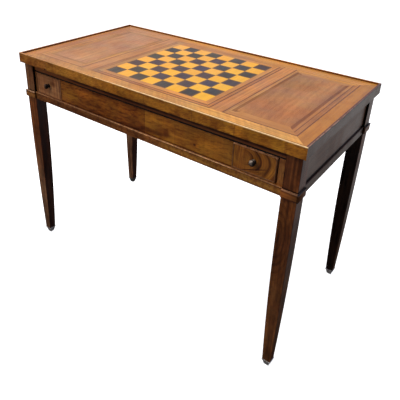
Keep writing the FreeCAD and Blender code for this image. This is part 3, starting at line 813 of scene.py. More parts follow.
def paint_frieze(t):
    """Two leaves of veneer with a faint third seam, the left one redder with strong short dashes, upright
    ripples, a small knot, dark flames low in the middle, golden glows and painted shade along the edges."""
    x, y, z = t.x, t.y, t.z
    left_leaf = t.ramp(x, 0.0250, 0.0260, 1.0, 0.0)
    t.tint(left_leaf, (0.62, 0.51, 0.42))
    t.tint(t.ramp(x, -0.15, -0.30), (0.92, 0.98, 1.35))
    t.tint(t.ramp(x, 0.12, 0.22), (0.86, 0.84, 0.85))
    t.tint(t.line(x, 0.100, 0.045, 0.070), (1.12, 1.14, 1.10))
    dashes = t.noise(t.join(x * 40.0, 0.0, (z - x * 0.15) * 150.0), detail=4.0, roughness=0.65)
    t.tint(t.ramp(dashes, 0.49, 0.60) * t.pick(left_leaf, 0.60, 0.95), (0.52, 0.41, 0.34))
    t.tint(1.0, t.mix(left_leaf, (0.97, 0.98, 0.92), (1.12, 1.14, 1.16)))
    ripple = t.clouds((170.0, 0.0, 14.0), 0.45, 0.70)
    t.tint(ripple * t.pick(left_leaf, 0.35, 0.20), (0.70, 0.60, 0.52))
    flames = t.join(x * 13.0, y * 10.0, (z + x * 0.12) * 75.0)
    flames = t.ramp(t.noise(flames, detail=5.0, roughness=0.65, distortion=0.7), 0.48, 0.68)
    t.tint(flames * t.pick(left_leaf, 0.45, 0.85), (0.52, 0.38, 0.30))
    for *spot, by in (
        # centre x and z, half width and height, tint
        (-0.225, 0.660, 0.045, 0.014, (1.22, 1.10, 0.85)),     # glows
        (-0.050, 0.665, 0.055, 0.012, (1.34, 1.32, 0.85)),
        (-0.290, 0.640, 0.030, 0.018, (1.10, 1.20, 0.95)),
        (0.080, 0.668, 0.060, 0.010, (1.20, 1.18, 0.85)),
        (0.230, 0.650, 0.050, 0.022, (1.12, 1.12, 0.85)),
        (0.1050, 0.6340, 0.0090, 0.0120, (0.62, 0.50, 0.46)),
        (0.2020, 0.6320, 0.0040, 0.0034, (0.32, 0.22, 0.18)),  # the knot, with a pale and a dusky ring
        (0.2110, 0.6310, 0.0050, 0.0050, (1.45, 1.40, 1.30)),
        (0.2028, 0.6340, 0.0110, 0.0140, (0.78, 0.70, 0.62)),
        (0.0900, 0.6330, 0.0280, 0.0130, (0.50, 0.40, 0.38)),  # flames
        (0.0450, 0.6220, 0.0420, 0.0085, (0.48, 0.38, 0.35)),
        (0.0000, 0.6140, 0.0350, 0.0045, (0.60, 0.50, 0.46)),
        (-0.0250, 0.6250, 0.0600, 0.0160, (0.80, 0.74, 0.70)),
        (-0.1350, 0.6760, 0.1100, 0.0070, (0.72, 0.66, 0.62)),
    ):
        t.tint(t.front_spot(*spot, 0.6), by)
    for seam, depth in ((0.0255, 0.8), (0.1345, 0.45), (0.318, 0.5)):
        t.tint(t.line(x, seam, seam_half, 0.0006) * depth, (0.3, 0.22, 0.2))
    # painted shade along the top and bottom edges, darkest in a line at the bottom
    low = t.ramp(z, frieze_low.z, frieze_low.z + 0.008, 1.0, 0.0)
    high = t.ramp(z, frieze_high.z - 0.006, frieze_high.z)
    t.tint((low + high) * 0.5, (0.52, 0.42, 0.38))
    t.tint(t.ramp(z, frieze_low.z + 0.0032, frieze_low.z + 0.0016), (0.20, 0.14, 0.12))


def paint_ringed_front(t):
    """Dark arcs to the right of the knob, nested about a point to its left, with pale gold between them;
    upright grain at the left end and sloping lines low at the left."""
    x, z = t.x, t.z
    nest = placed(t, nest_group, Vector=t.position, Centre=(0.3535, front_y, 0.6500), Flatten=1.25,
                  First=0.0050, Spacing=0.0235, Unrest=0.020)
    t.tint(1.0, (0.88, 0.88, 0.70))
    rise = z - x * 0.35
    low_left = t.ramp(rise, 0.4925, 0.4890) * t.ramp(x, 0.418, 0.405)
    rings = nest["Rings"] * t.ramp(x, 0.350, 0.380, 0.20, 1.0)
    t.tint(rings * (1.0 - low_left * 0.8), ring_tone)
    gaps = t.ramp(nest["Rings"], 0.25, 0.0) * t.ramp(x * 0.5 - z, -0.436, -0.415)
    t.tint(gaps * 0.8, (1.30, 1.38, 1.10))
    sloping = t.ramp(t.noise(t.join(x * 22.0, 0.0, rise * 250.0)), 0.42, 0.60)
    t.tint(low_left * (sloping * 0.7), (0.42, 0.32, 0.28))
    t.tint(t.line(rise, 0.4905, 0.0004, 0.0014) * t.ramp(x, 0.425, 0.410), ring_tone)
    upright = t.ramp(t.noise(t.join(x * 330.0, 0.0, (z + x) * 18.0)), 0.42, 0.62)
    t.tint(upright * t.ramp(x, 0.365, 0.340, 0.15, 0.75), (0.45, 0.34, 0.30))


def paint_plain_front(t):
    """A plainer leaf with faint upright bars, dark lines beside its beads and the knob's painted shadow."""
    t.tint(t.clouds((130.0, 0.0, 9.0), 0.42, 0.65, detail=3.0) * 0.55, (0.6, 0.5, 0.45))
    t.tint(t.clouds(42.0, 0.48, 0.66, detail=4.0) * 0.5, (0.55, 0.45, 0.40))
    for place, depth in ((-0.4565, 0.85), (-0.3435, 0.80), (-0.3570, 0.35), (-0.4460, 0.35)):
        t.tint(t.line(t.x, place, 0.0012, 0.0028) * depth, (0.30, 0.20, 0.18))
    # painted shadow cast by the knob
    t.tint(t.front_spot(-0.376, 0.656, 0.013, 0.009) * 0.65, (0.4, 0.28, 0.24))


def paint_bead(t):
    """The bead along the top of the right drawer carries a painted highlight in short stretches."""
    # painted highlight along the top bead
    top = t.ramp(t.z, frieze_high.z - 0.0055, frieze_high.z - 0.004) * (t.x > 0.0)
    t.tint(top * t.clouds(130.0, 0.38, 0.58, 0.35, 1.0, detail=3.0), (3.2, 3.6, 4.6))


def paint_moulding(t):
    """A painted highlight on the bead along the top in broken stretches, brightest in the middle, with
    painted shade in the groove under it; a greyer left end, fine spots and a few stains."""
    x, z, top = t.x, t.z, moulding_high.z
    t.tint(t.ramp(x, 0.0, -0.3), (0.70, 0.68, 0.72))
    t.tint(t.ramp(x, 0.05, 0.12), (1.18, 1.40, 0.88))
    spots = t.clouds(120.0, 0.46, 0.58, detail=4.0, roughness=0.65)
    t.tint(spots * t.ramp(x, -0.1, 0.1, 0.9, 0.75), (0.55, 0.42, 0.34))
    t.tint(t.ramp(x, 0.1, -0.1), (0.97, 1.02, 0.90))
    t.tint(t.clouds(14.0, 0.52, 0.68, detail=4.0) * 0.6, (0.5, 0.42, 0.4))
    for place_x, place_z, wide, tall in ((0.066, 0.593, 0.022, 0.010), (0.015, 0.592, 0.045, 0.010),
                                         (0.452, 0.594, 0.007, 0.012)):
        stain = t.spot((place_x, -moulding_high.y, place_z), (wide, 0.5, tall))
        t.tint(stain, (0.30, 0.24, 0.22))
    # painted shade in the groove under the bead
    t.tint(t.line(z, top - 0.0046, 0.0003, 0.0006) * 0.6, (0.4, 0.32, 0.3))
    t.tint(t.ramp(z, top - 0.0045, top - 0.0035), (0.78, 0.70, 0.66))
    # painted highlight along the bead
    bead = t.line(z, top - 0.0017, 0.0008, 0.0010)
    middle = t.ramp(x, -0.20, 0.03, 0.38, 1.0) * t.ramp(x, 0.31, 0.33, 1.0, 0.30)
    broken = t.clouds(110.0, 0.35, 0.60, 0.40, 1.0, detail=3.0)
    t.cover(bead * middle * broken, (0.95, 0.47, 0.19))


def paint_collar(t):
    """A painted highlight on the top arris at the front, a dusky lower edge, a darker outer side and a black
    ledge, both painted shade, and greyer left collars."""
    top = collar_high.z
    t.tint(t.x < 0.0, (0.75, 0.93, 1.40))
    # painted shade on the right-hand outer side
    right_side = t.ramp(t.x, leg_high.x + 0.0002, leg_high.x + 0.0008)
    t.tint(right_side, (0.42, 0.40, 0.42))
    t.tint(t.clouds(90.0, 0.48, 0.68, detail=3.0) * 0.5, (0.62, 0.50, 0.42))
    broken = t.clouds(60.0, 0.30, 0.60, 0.35, 0.75, detail=3.0)
    # painted highlight on the top arris at the front
    arris = t.ramp(t.z, top - 0.0022, top - 0.0010) * (t.y < -leg_low.y)
    t.cover(arris * broken * 0.7, (0.80, 0.48, 0.27))
    # near-black painted shade on the ledge at the top of the outer side
    t.tint(right_side * t.ramp(t.z, top - 0.0016, top - 0.0006), painted_shade_black)
    t.tint(t.ramp(t.z, collar_low.z + 0.005, collar_low.z), (0.42, 0.34, 0.32))


def paint_stile(t):
    """Short upright spots, a greyer left stile, and dark painted shade in the gap beside the drawer."""
    t.tint(t.x < 0.0, (0.50, 0.52, 0.62))
    t.tint(t.clouds((260.0, 0.0, 60.0), 0.42, 0.62, detail=3.0) * 0.7, (0.55, 0.42, 0.34))
    # painted shade in the gap beside the drawer
    t.tint(t.ramp(abs(t.x) - drawer_gap_x, 0.0034, 0.0014), (0.06, 0.04, 0.04))


def paint_side_rail(t):
    """A black line of painted shade above the moulding."""
    # painted shade above the side moulding
    t.tint(t.ramp(t.z, moulding_high.z + 0.0085, moulding_high.z + 0.0060), painted_shade_black)


def paint_legs(t):
    """Upright streaks, paler worn arrises, painted shade on inner and right outer faces, greyer lower left
    legs, curls in the right front leg, and black painted shade where the rails and the collars meet the legs."""
    x, y, z = t.x, t.y, t.z
    right = x > 0.0
    high = t.ramp(z, 0.20, 0.50)
    at_collar = t.ramp(z, collar_low.z, collar_high.z)
    left_tone = t.mix(high, (1.14, 1.78, 3.60), (0.93, 0.90, 0.76))
    left_tone = t.mix(at_collar, left_tone, (1.16, 1.68, 3.00))
    right_tone = t.mix(high, (0.92, 1.08, 1.25), (1.02, 1.02, 0.78))
    right_tone = t.mix(at_collar, right_tone, (0.96, 0.95, 0.80))
    t.tint(1.0, t.mix(right, left_tone, right_tone))
    t.tint(t.clouds(65.0, 0.42, 0.66, detail=4.0, roughness=0.6) * 0.5, (0.55, 0.46, 0.44))
    streaks = t.clouds((150.0, 150.0, 7.0), 0.38, 0.62, detail=3.0)
    t.tint(1.0, t.mix(streaks, (1.22, 1.20, 1.18), (0.72, 0.66, 0.66)))
    curls = placed(t, nest_group, Vector=t.position, Centre=(0.470, -0.259, 0.470), Flatten=0.34,
                   Spacing=0.0085, Unrest=0.010)
    near = t.ramp(curls["Distance"], 0.070, 0.030) * (right * (y < 0.0))
    t.tint(curls["Rings"] * near * 0.8, (0.46, 0.38, 0.36))
    t.tint(t.wear() * t.clouds(55.0, 0.35, 0.65, detail=3.0) * 0.6, (1.9, 1.75, 1.6))
    down = t.math("DIVIDE", leg_taper_top - z, leg_taper_top - shoe_high.z, clamp=True)
    drawn_in = down * down * leg_inner_taper
    inner_x = (abs(x) - drawn_in) < leg_low.x + 0.0008
    inner_y = (abs(y) - drawn_in) < leg_low.y + 0.0008
    # painted shade on the inner faces
    t.tint(inner_x, (0.36, 0.24, 0.20))
    t.tint(inner_y * right, (0.17, 0.18, 0.22))
    in_frame = z > moulding_low.z
    # black painted shade where the legs stand proud of the rails
    for inner, value, rail in ((inner_x, y, rail_y), (inner_y, x, rail_x)):
        t.tint(inner * (abs(value) > rail - 0.0002) * in_frame, (0.04, 0.04, 0.04))
    # painted shade near the block's inner edge
    edge = t.ramp(abs(x), leg_low.x + 0.0050, leg_low.x + 0.0020) * (z > collar_high.z)
    t.tint(edge * 0.8, (0.25, 0.18, 0.15))
    # painted shade on the right-hand outer faces
    outer_side = t.ramp(x, leg_high.x - 0.001, leg_high.x - 0.0002)
    t.tint(outer_side, (0.55, 0.42, 0.42))
    # painted shade where the collars meet the legs
    seat = t.line(z, collar_high.z + 0.0010, 0.0024, 0.0020)
    t.tint(seat * t.pick(outer_side, 0.9, 0.0), (0.14, 0.11, 0.10))
    t.tint(outer_side * t.line(z, collar_high.z, 0.0045, 0.0020), painted_shade_black)


def paint_knobs(t):
    """Near-black painted shade on the right and the underside of each knob, and the left knob darker all
    over.
    """
    on_left = t.x < 0.0
    beside = t.x - t.pick(on_left, knob_right_x, knob_left_x)
    below = t.ramp(t.z - knob_z, 0.0005, -0.0035)
    # painted shade on the right and the underside
    t.tint(t.larger(t.ramp(beside, 0.0005, 0.0045), below), (0.08, 0.07, 0.07))
    t.tint(on_left, (0.25, 0.17, 0.14))


def paint_shoes(t):
    """The back left shoe is nearly black."""
    t.tint((t.x < 0.0) * (t.y > 0.0), (0.20, 0.20, 0.18))


def metal(name, base, roughness, tarnish, dull, paint):
    """Old cast metal: a base colour, a duller tarnish in patches, less metallic by dull, and small pits."""
    material, t, shader = new_material(name)
    patches = t.clouds(160.0, 0.35, 0.65, detail=4.0, roughness=0.6)
    marks = placed(t, handling_group, Vector=t.position)
    t.colour = t.mix(patches, base, tarnish)
    t.cover(marks["Scratches"] * 0.5, scaled(base, 2.2))
    t.cover(t.wear() * 0.6, scaled(base, 2.6))
    paint(t)
    pits = t.noise(t.position, scale=900.0)
    t.feed(shader, {"Base Color": t.colour, "Metallic": 1.0 - patches * dull,
                    "Roughness": patches * 0.22 + roughness, "Normal": t.bump(pits, 0.2, 0.0003)})
    finishes[name] = material


def felt(name, base):
    """Napped wool cloth: a soft mottle, fibres in all directions and a sheen on the nap."""
    material, t, shader = new_material(name)
    fuzz = t.noise(t.position, scale=2200.0)
    tone = fuzz * 0.6 + t.noise(t.position, scale=14.0, detail=3.0) * 0.5
    t.feed(shader, {"Base Color": t.mix(t.ramp(tone, 0.3, 0.8), scaled(base, 0.55), scaled(base, 1.4)),
                    "Roughness": 0.95, "Sheen Weight": 0.35, "Sheen Roughness": 0.5,
                    "Normal": t.bump(fuzz, 0.5, 0.0005)})
    finishes[name] = material


quiet = {"streaks": 0.35, "rings": 0.1, "mottle": 0.25, "pores": 0.15}
board_frame = framed(0.0, border_high.x, border_high.y)
panel_frame = framed(panel_centre_x, panel_half_x, panel_half_y)

wood("leg_walnut", (0.201, 0.065, 0.015), along_z, paint_legs, roughness=0.34, streaks=0.45,
     streak_count=130.0, stretch=9.0, mottle=0.6, rings=0.12, light=(1.50, 1.55, 1.48),
     dull_past_x=leg_high.x - 0.0004)
wood("upper_rail", (0.161, 0.053, 0.013), along_x, paint_upper_rail, rings=0.15)
wood("side_rail", (0.173, 0.060, 0.015), along_y, paint_side_rail, dull_past_x=1.0, **quiet)
wood("frieze", (0.560, 0.222, 0.020), along_x, paint_frieze, streak_count=80.0, stretch=7.0, streaks=0.35,
     rings=0.15, mottle=0.5)
wood("stile", (0.440, 0.175, 0.034), along_z, paint_stile, dull_past_x=1.0)
wood("ringed_front", (0.520, 0.190, 0.022), along_z, paint_ringed_front, rings=0.1, streaks=0.25)
wood("plain_front", (0.470, 0.215, 0.080), along_x, paint_plain_front, **quiet)
wood("drawer_bead", (0.260, 0.115, 0.040), along_x, paint_bead, **quiet)
wood("moulding", (0.402, 0.148, 0.031), along_x, paint_moulding, streaks=0.6, mottle=0.45)
wood("collar", (0.490, 0.160, 0.022), along_x, paint_collar, mottle=0.4, dull_past_x=leg_high.x + 0.0005)
wood("side_moulding", (0.100, 0.040, 0.014), along_y, dull_past_x=0.3)
wood("ebonised", (0.020, 0.016, 0.014), along_x, **quiet)
wood("lipping_x", (0.520, 0.213, 0.0145), along_x, paint_lipping, streak_count=90.0, stretch=22.0,
     streaks=0.35, rings=0.1, mottle=0.5)
wood("lipping_y", (0.150, 0.060, 0.025), along_y, paint_lipping, **quiet)
wood("core", (0.260, 0.130, 0.060), flat_x, **quiet)
wood("outer_banding", (0.656, 0.311, 0.067), framed(0.0, core_x, core_y), paint_outer_banding, **quiet)
wood("cross_band", (0.578, 0.253, 0.069), flat_y, paint_cross_band, **quiet)
wood("board_border", (0.565, 0.260, 0.059), board_frame, paint_board_border, **quiet)
wood("dark_stringing", (0.165, 0.060, 0.014), flat_y, paint_board_string, **quiet)
wood("panel_string", (0.195, 0.074, 0.016), flat_y, paint_panel_string, **quiet)
wood("side_border", (0.487, 0.224, 0.056), panel_frame,
     paint_panel_frame(0.8, (0.92, 0.86, 0.84), (1.08, 1.14, 1.25), (1.0, 1.05, 1.2)), **quiet)
wood("side_inner_band", (0.339, 0.132, 0.016), panel_frame,
     paint_panel_frame(1.0, (0.80, 0.74, 0.75), (0.82, 0.84, 0.90), (1.05, 1.3, 2.4)), **quiet)
wood("side_field", (0.446, 0.202, 0.060), field_run, paint_field, streak_count=90.0, stretch=8.0,
     streaks=0.20, rings=0.10, mottle=0.30, wander=0.02)
wood("dark_square", (0.082, 0.058, 0.022), squares_run, paint_dark_squares, streaks=0.3, rings=0.05,
     pores=0.2, warmth=0.3)
wood("light_square", (0.870, 0.462, 0.038), squares_run, paint_light_squares, streaks=0.2, rings=0.08,
     pores=0.05, mottle=0.2, warmth=0.3, light=(1.12, 1.14, 1.2), dark=(0.84, 0.76, 0.6))
wood("well_walnut", (0.240, 0.120, 0.055), flat_x)
wood("point_dark", (0.030, 0.024, 0.022), flat_y, **quiet)
wood("point_light", (0.620, 0.440, 0.210), flat_y, **quiet)
wood("oak", (0.420, 0.270, 0.140), flat_y, roughness=0.55, pores=0.6, ring_count=140.0)
felt("baize", (0.030, 0.120, 0.055))
metal("knob_bronze", (0.350, 0.285, 0.220), 0.32, (0.280, 0.215, 0.160), 0.8, paint_knobs)
metal("foot_brass", (0.660, 0.560, 0.430), 0.38, (0.760, 0.720, 0.670), 0.85, paint_shoes)

# the nodes that don't wear the finish named after their material slot
own_finish = {
    node: finish
    for finish, named in {
        "upper_rail": ("front_upper_rail", "front_lower_rail", "back_rail"),
        "side_rail": ("left_side_rail", "right_side_rail"),
        "frieze": ("front_frieze_panel",),
        "stile": ("front_stiles",),
        "plain_front": ("left_drawer_front",),
        "ringed_front": ("right_drawer_front",),
        "moulding": ("front_moulding", "back_moulding"),
        "side_moulding": ("side_mouldings",),
        "collar": ("collar_front_left", "collar_front_right", "collar_back_left", "collar_back_right"),
        "lipping_x": ("top_lipping_front", "top_lipping_back"),
        "lipping_y": ("top_lipping_left", "top_lipping_right"),
        "core": ("top_core",),
        "panel_string": ("side_panel_stringing",),
    }.items()
    for node in named
}


def finish_for(node):
    """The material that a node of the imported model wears."""
    return finishes[own_finish.get(node, slot_of[node])]


# ---- modelled pieces ----

def quads(rows, around, closed):
    """The faces between neighbouring rows of a grid whose rows close on themselves. Where closed, the last
    row meets the first."""
    row, turn = np.meshgrid(np.arange(rows if closed else rows - 1), np.arange(around), indexing="ij")
    below, after = (row + 1) % rows, (turn + 1) % around
    corners = [row * around + turn, row * around + after, below * around + after, below * around + turn]
    return np.stack(corners, -1).reshape(-1, 4).tolist()


def tube(rings):
    """Points and faces of a closed tube from an array (rows, around, 3), with a fan at each end."""
    rows, around = rings.shape[:2]
    points = np.vstack([rings.reshape(-1, 3), rings[0].mean(0), rings[-1].mean(0)])
    faces = quads(rows, around, closed=False)
    turn = np.arange(around)
    for first, centre in ((0, rows * around), ((rows - 1) * around, rows * around + 1)):
        faces += np.stack([first + turn, first + (turn + 1) % around, np.full(around, centre)], -1).tolist()
    return points, faces


def looped(grid):
    """Points and faces of a surface that closes both ways, from an array (rows, around, 3)."""
    return grid.reshape(-1, 3), quads(*grid.shape[:2], closed=True)


def new_piece(name, parts, stands_for, wear=None, sharp=35.0):
    """One object from several closed shells of points and faces, in place of CAD nodes of one body."""
    points, faces, start = [], [], 0
    for shell_points, shell_faces in parts:
        points.append(shell_points)
        faces += [[index + start for index in face] for face in shell_faces]
        start += len(shell_points)
    mesh = bpy.data.meshes.new(name)
    mesh.from_pydata(np.vstack(points), [], faces)
    if wear is not None:
        mesh.attributes.new("wear", "FLOAT", "POINT").data.foreach_set("value", wear.astype(np.float32))
    return dress(name, mesh, stands_for, sharp)


def dress(name, mesh, stands_for, sharp=35.0):
    """Turns the faces outwards, smooths all but sharp edges, and puts the piece in its nodes' place."""
    work = bmesh.new()
    work.from_mesh(mesh)
    bmesh.ops.recalc_face_normals(work, faces=work.faces[:])
    work.to_mesh(mesh)
    work.free()
    mesh.polygons.foreach_set("use_smooth", np.ones(len(mesh.polygons), bool))
    mesh.set_sharp_from_angle(angle=math.radians(sharp))
    piece = bpy.data.objects.new(name, mesh)
    bpy.context.scene.collection.objects.link(piece)
    first = stands_for[0]
    mesh.materials.clear()
    mesh.materials.append(finish_for(first))
    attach(piece, nodes[first]["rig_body"])
    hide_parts(*stands_for)
    return piece


def rounded_square(half, radius, support, steps=5):
    """The outline of a square with round corners as (around, 2) offsets for each entry of half, with a
    point on each side of every corner's arc, and which of the points lie on an arc."""
    turn = np.concatenate([[0.0], np.linspace(0.0, math.pi / 2, steps), [math.pi / 2]])
    slide = np.concatenate([[-support], np.zeros(steps), [support]])
    angle = (np.arange(4)[:, None] * math.pi / 2 + turn[None, :]).ravel()
    slide = np.tile(slide, 4)
    on_arc = np.tile(np.concatenate([[0.0], np.ones(steps), [0.0]]), 4)
    diagonal = (np.arange(4) * math.pi / 2 + math.pi / 4).repeat(len(turn))
    corner = np.stack([np.sign(np.cos(diagonal)), np.sign(np.sin(diagonal))], -1)
    arc = np.stack([np.cos(angle), np.sin(angle)], -1) * radius
    along = np.stack([-np.sin(angle), np.cos(angle)], -1) * slide[:, None]
    half = np.atleast_1d(half)[:, None, None]
    return corner[None] * (half - radius) + arc[None] + along[None], on_arc


def make_legs():
    """Each leg is a rounded square carried up from the shoe: its outer and inner faces draw in by their
    tapers times the square of the way down from the taper's top."""
    z = np.concatenate([np.linspace(shoe_high.z, leg_taper_top, leg_rows), [collar_low.z, leg_high.z]])
    down = np.clip((leg_taper_top - z) / (leg_taper_top - shoe_high.z), 0.0, 1.0) ** 2
    outer = leg_high.x - leg_outer_taper * down
    inner = leg_low.x + leg_inner_taper * down
    outline, on_arc = rounded_square((outer - inner) / 2, leg_arris, leg_support)
    centre_x = (outer + inner) / 2
    centre_y = centre_x - (leg_high.x - leg_high.y)
    wear = np.concatenate([np.tile(on_arc, len(z)), [0.0, 0.0]])
    for name in ("front_left", "front_right", "back_left", "back_right"):
        side_x = 1 if "right" in name else -1
        side_y = 1 if "back" in name else -1
        x = side_x * (centre_x[:, None] + outline[..., 0])
        y = side_y * (centre_y[:, None] + outline[..., 1])
        rings = np.stack([x, y, np.broadcast_to(z[:, None], x.shape)], -1)
        new_piece("leg_" + name + "_shaped", [tube(rings)], ["leg_" + name], wear)


shoe_profile = (
    # height above the floor, half width, both as shares of the shoe's own
    (0.000, 0.520), (0.030, 0.560), (0.250, 0.650), (0.500, 0.745), (0.760, 0.870), (0.815, 0.915),
    (0.830, 0.960), (0.865, 0.990), (0.910, 1.000), (0.955, 0.990), (0.985, 0.955), (1.000, 0.915),
)
shoe_arris = 0.0012
shoe_support = 0.002
shoe_ring_from = 0.98        # the widest part of the profile is the ring, and is worn


def make_shoes():
    """Four square metal shoes: the profile's half widths on a rounded square, one shell each. The corners
    and the ring are worn."""
    share_z, share_half = np.array(shoe_profile).T
    width = (leg_high.x - leg_low.x) - leg_outer_taper - leg_inner_taper
    centre_x, centre_y = [side - leg_outer_taper - width / 2 for side in (leg_high.x, leg_high.y)]
    outline, on_arc = rounded_square(share_half * (shoe_high.x - centre_x), shoe_arris, shoe_support,
                                     steps=4)
    z = np.broadcast_to((share_z * shoe_high.z)[:, None], outline.shape[:2])
    worn = on_arc[None, :] * 0.6 + (share_half[:, None] > shoe_ring_from) * 0.4
    shells = []
    for side_x in (-1, 1):
        for side_y in (-1, 1):
            x = side_x * centre_x + outline[..., 0]
            y = side_y * centre_y + outline[..., 1]
            shells.append(tube(np.stack([x, y, z], -1)))
    wear = np.tile(np.concatenate([worn.ravel(), [0.0, 0.0]]), 4)
    new_piece("foot_shoes", shells, ["foot_caps"], wear, sharp=50.0)


knob_profile = (
    # radius and distance out from the drawer's face, in millimetres: rose, neck, mushroom head
    (6.2, 0.0), (6.9, 0.1), (7.0, 0.7), (6.7, 1.3), (5.8, 1.6), (4.6, 1.9), (4.2, 2.8), (4.1, 4.6),
    (4.5, 6.2), (5.6, 7.2), (7.2, 7.8), (8.5, 8.8), (9.0, 10.3), (8.8, 12.0), (8.0, 13.6), (6.5, 14.9),
    (4.4, 15.6), (2.2, 15.9), (0.6, 16.0),
)
knob_around = 32
knob_worn_from = 0.0118      # out from the drawer's face
knob_worn_over = 0.004


def make_knobs():
    """A profile turned about a line through the knob's centre along -Y, worn towards its head."""
    radius, out = np.array(knob_profile).T * MM
    angle = np.linspace(0.0, 2 * math.pi, knob_around, endpoint=False)
    worn = np.clip((out - knob_worn_from) / knob_worn_over, 0.0, 1.0)
    wear = np.concatenate([np.repeat(worn, len(angle)), [0.0, 1.0]])
    for side in ("left", "right"):
        low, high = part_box(side + "_knob")
        x = (low.x + high.x) / 2 + radius[:, None] * np.cos(angle)
        z = (low.z + high.z) / 2 + radius[:, None] * np.sin(angle)
        y = np.broadcast_to(front_y - out[:, None], x.shape)
        knob = new_piece(side + "_turned_knob", [tube(np.stack([x, y, z], -1))], [side + "_knob"], wear, 60.0)
        smooth = knob.modifiers.new("smooth", "SUBSURF")
        smooth.levels = smooth.render_levels = 2


bead_section = (
    # share of the bead's width inwards, share of its projection outwards
    (0.0, -1.0), (0.0, 0.10), (0.04, 0.45), (0.18, 0.80), (0.36, 0.96), (0.50, 1.0), (0.64, 0.96),
    (0.82, 0.80), (0.96, 0.45), (1.0, 0.10), (1.0, -1.0),
)
bead_width = 0.003


def make_beads():
    """A half round section carried round the drawer's front, its corners mitred."""
    inward, outward = np.array(bead_section).T
    inward = inward * bead_width
    for side in ("left", "right"):
        low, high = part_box(side + "_drawer_bead")
        proud = front_y - low.y
        corners = np.array([(low.x, low.z, 1, 1), (high.x, low.z, -1, 1), (high.x, high.z, -1, -1),
                            (low.x, high.z, 1, -1)])
        x = corners[:, 0, None] + corners[:, 2, None] * inward
        z = corners[:, 1, None] + corners[:, 3, None] * inward
        depth = np.where(outward < 0, -(high.y - front_y), outward * proud)
        y = np.broadcast_to(front_y - depth, x.shape)
        new_piece(side + "_cock_bead", [looped(np.stack([x, y, z], -1))], [side + "_drawer_bead"])


arris_width = 0.0006
arris_angle = 40.0           # degrees: edges sharper than this are eased
flat_angle = 1.0             # and faces that turn less than this are one face
merge_distance = 1e-5
eased_nodes = (
    "front_frieze_panel", "front_stiles", "left_drawer_front", "right_drawer_front", "front_upper_rail",
    "back_rail", "left_side_rail", "right_side_rail", "front_moulding", "back_moulding", "side_mouldings",
    "collar_front_left", "collar_front_right", "collar_back_left", "collar_back_right",
)


def make_eased(node):
    """A merged copy of a CAD node with its arrises taken off, which stands for the node."""
    mesh = nodes[node].data.copy()
    work = bmesh.new()
    work.from_mesh(mesh)
    bmesh.ops.remove_doubles(work, verts=work.verts[:], dist=merge_distance)
    bmesh.ops.dissolve_limit(work, angle_limit=math.radians(flat_angle), verts=work.verts[:],
                             edges=work.edges[:])
    work.to_mesh(mesh)
    work.free()
    mesh.name = node + "_eased"
    piece = dress(mesh.name, mesh, [node])
    bevel = piece.modifiers.new("arris", "BEVEL")
    bevel.width = arris_width
    bevel.segments = 2
    bevel.limit_method = "ANGLE"
    bevel.angle_limit = math.radians(arris_angle)
    flat = piece.modifiers.new("flat_faces", "WEIGHTED_NORMAL")
    flat.keep_sharp = False


baize_columns, baize_rows = 64, 32
baize_edge, baize_inside = 0.55, 0.90   # its thickness at the rim and inside, as shares of the node's
baize_rim = 0.004
baize_ripple = 0.00008


def make_baize():
    """A thin cloth with a soft edge, stretched over the reverse of the top: two grids that meet at the rim,
    the lower one with a slow ripple of less than a tenth of a millimetre."""
    low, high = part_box("top_baize")
    across = np.linspace(low.x, high.x, baize_columns)
    deep = np.linspace(low.y, high.y, baize_rows)
    x, y = np.meshgrid(across, deep, indexing="ij")
    rim = np.minimum(np.minimum(x - low.x, high.x - x), np.minimum(y - low.y, high.y - y))
    ripple = baize_ripple * np.sin(19 * x + 7 * y) * np.sin(23 * y - 11 * x)
    share = baize_edge + (baize_inside - baize_edge) * np.clip(rim / baize_rim, 0.0, 1.0)
    thickness = (high.z - low.z) * share + ripple
    upper = np.stack([x, y, np.full_like(x, high.z)], -1).reshape(-1, 3)
    lower = np.stack([x, y, high.z - thickness], -1).reshape(-1, 3)
    count = len(upper)
    i, j = np.meshgrid(np.arange(baize_columns - 1), np.arange(baize_rows - 1), indexing="ij")
    a = (i * baize_rows + j).ravel()
    sheet = np.stack([a, a + 1, a + baize_rows + 1, a + baize_rows], -1)
    edge = np.concatenate([
        np.arange(baize_rows - 1), (baize_rows - 1) + baize_rows * np.arange(baize_columns - 1),
        count - 1 - np.arange(baize_rows - 1), (baize_columns - 1 - np.arange(baize_columns)) * baize_rows,
    ])
    after = np.roll(edge, -1)
    rim_faces = np.stack([edge, after, after + count, edge + count], -1)
    faces = sheet.tolist() + (sheet + count).tolist() + rim_faces.tolist()
    piece = new_piece("baize_lining", [(np.vstack([upper, lower]), faces)], ["top_baize"])


# ---- the studio ----

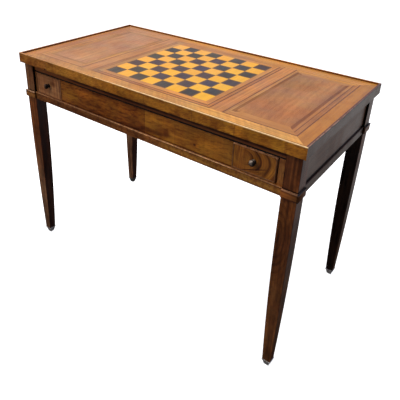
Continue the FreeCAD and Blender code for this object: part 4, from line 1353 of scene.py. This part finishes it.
def make_floor():
    """A plain pale floor. In the polish it shows dim under the table and in front of it, and brighter the
    further it lies behind the right end."""
    points = [(-floor_reach, -floor_reach), (floor_reach, -floor_reach), (floor_reach, floor_reach),
              (-floor_reach, floor_reach)]
    mesh = bpy.data.meshes.new("floor")
    mesh.from_pydata([(x, y, -floor_drop) for x, y in points], [], [(0, 1, 2, 3)])
    floor = bpy.data.objects.new("floor", mesh)
    bpy.context.scene.collection.objects.link(floor)
    material, t, shader = new_material("floor")
    path = t.outputs(t.node("ShaderNodeLightPath"))
    beside = t.ramp(t.x, 0.45, 0.85) * t.ramp(t.y, -0.4, 1.6, 0.05, 0.68)
    glow = t.pick(path["Is Camera Ray"], path["Is Glossy Ray"] * beside, floor_glow)
    bounce = t.mix(path["Is Glossy Ray"], floor_bounce, (0.03, 0.03, 0.03))
    t.feed(shader, {
        "Base Color": t.mix(path["Is Camera Ray"], bounce, floor_colour), "Roughness": 0.9,
        "Specular IOR Level": 0.0, "Emission Color": t.mix(glow, (0.0, 0.0, 0.0), white),
        "Emission Strength": 1.0,
    })
    mesh.materials.append(material)


def make_surround():
    """A white studio: full white behind the table, and a softer light on it, dimmer low at the front."""
    world = bpy.data.worlds.new("studio")
    world.use_nodes = True
    world.node_tree.nodes.clear()
    t = Tree(world.node_tree)
    _, y, z = t.split(t.out(t.node("ShaderNodeTexCoord"), "Generated"))
    path = t.outputs(t.node("ShaderNodeLightPath"))
    gloss = t.ramp(y + z * 0.5, -0.5, 0.4, 0.05, 1.0) * surround_gloss
    strength = t.pick(path["Is Glossy Ray"], surround_diffuse, gloss)
    strength = t.pick(path["Is Camera Ray"], strength, 1.0)
    tone = t.mix(path["Is Camera Ray"], surround_colour, white)
    background = t.node("ShaderNodeBackground", {"Color": tone, "Strength": strength})
    t.node("ShaderNodeOutputWorld", {"Surface": t.out(background)})
    bpy.context.scene.world = world


make_camera()
make_lamps()
make_surround()
make_floor()
make_legs()
make_shoes()
make_knobs()
make_beads()
make_baize()
for node in eased_nodes:
    make_eased(node)
for name, node in nodes.items():
    node.data.materials.clear()
    node.data.materials.append(finish_for(name))

bpy.context.scene.view_settings.view_transform = "Standard"
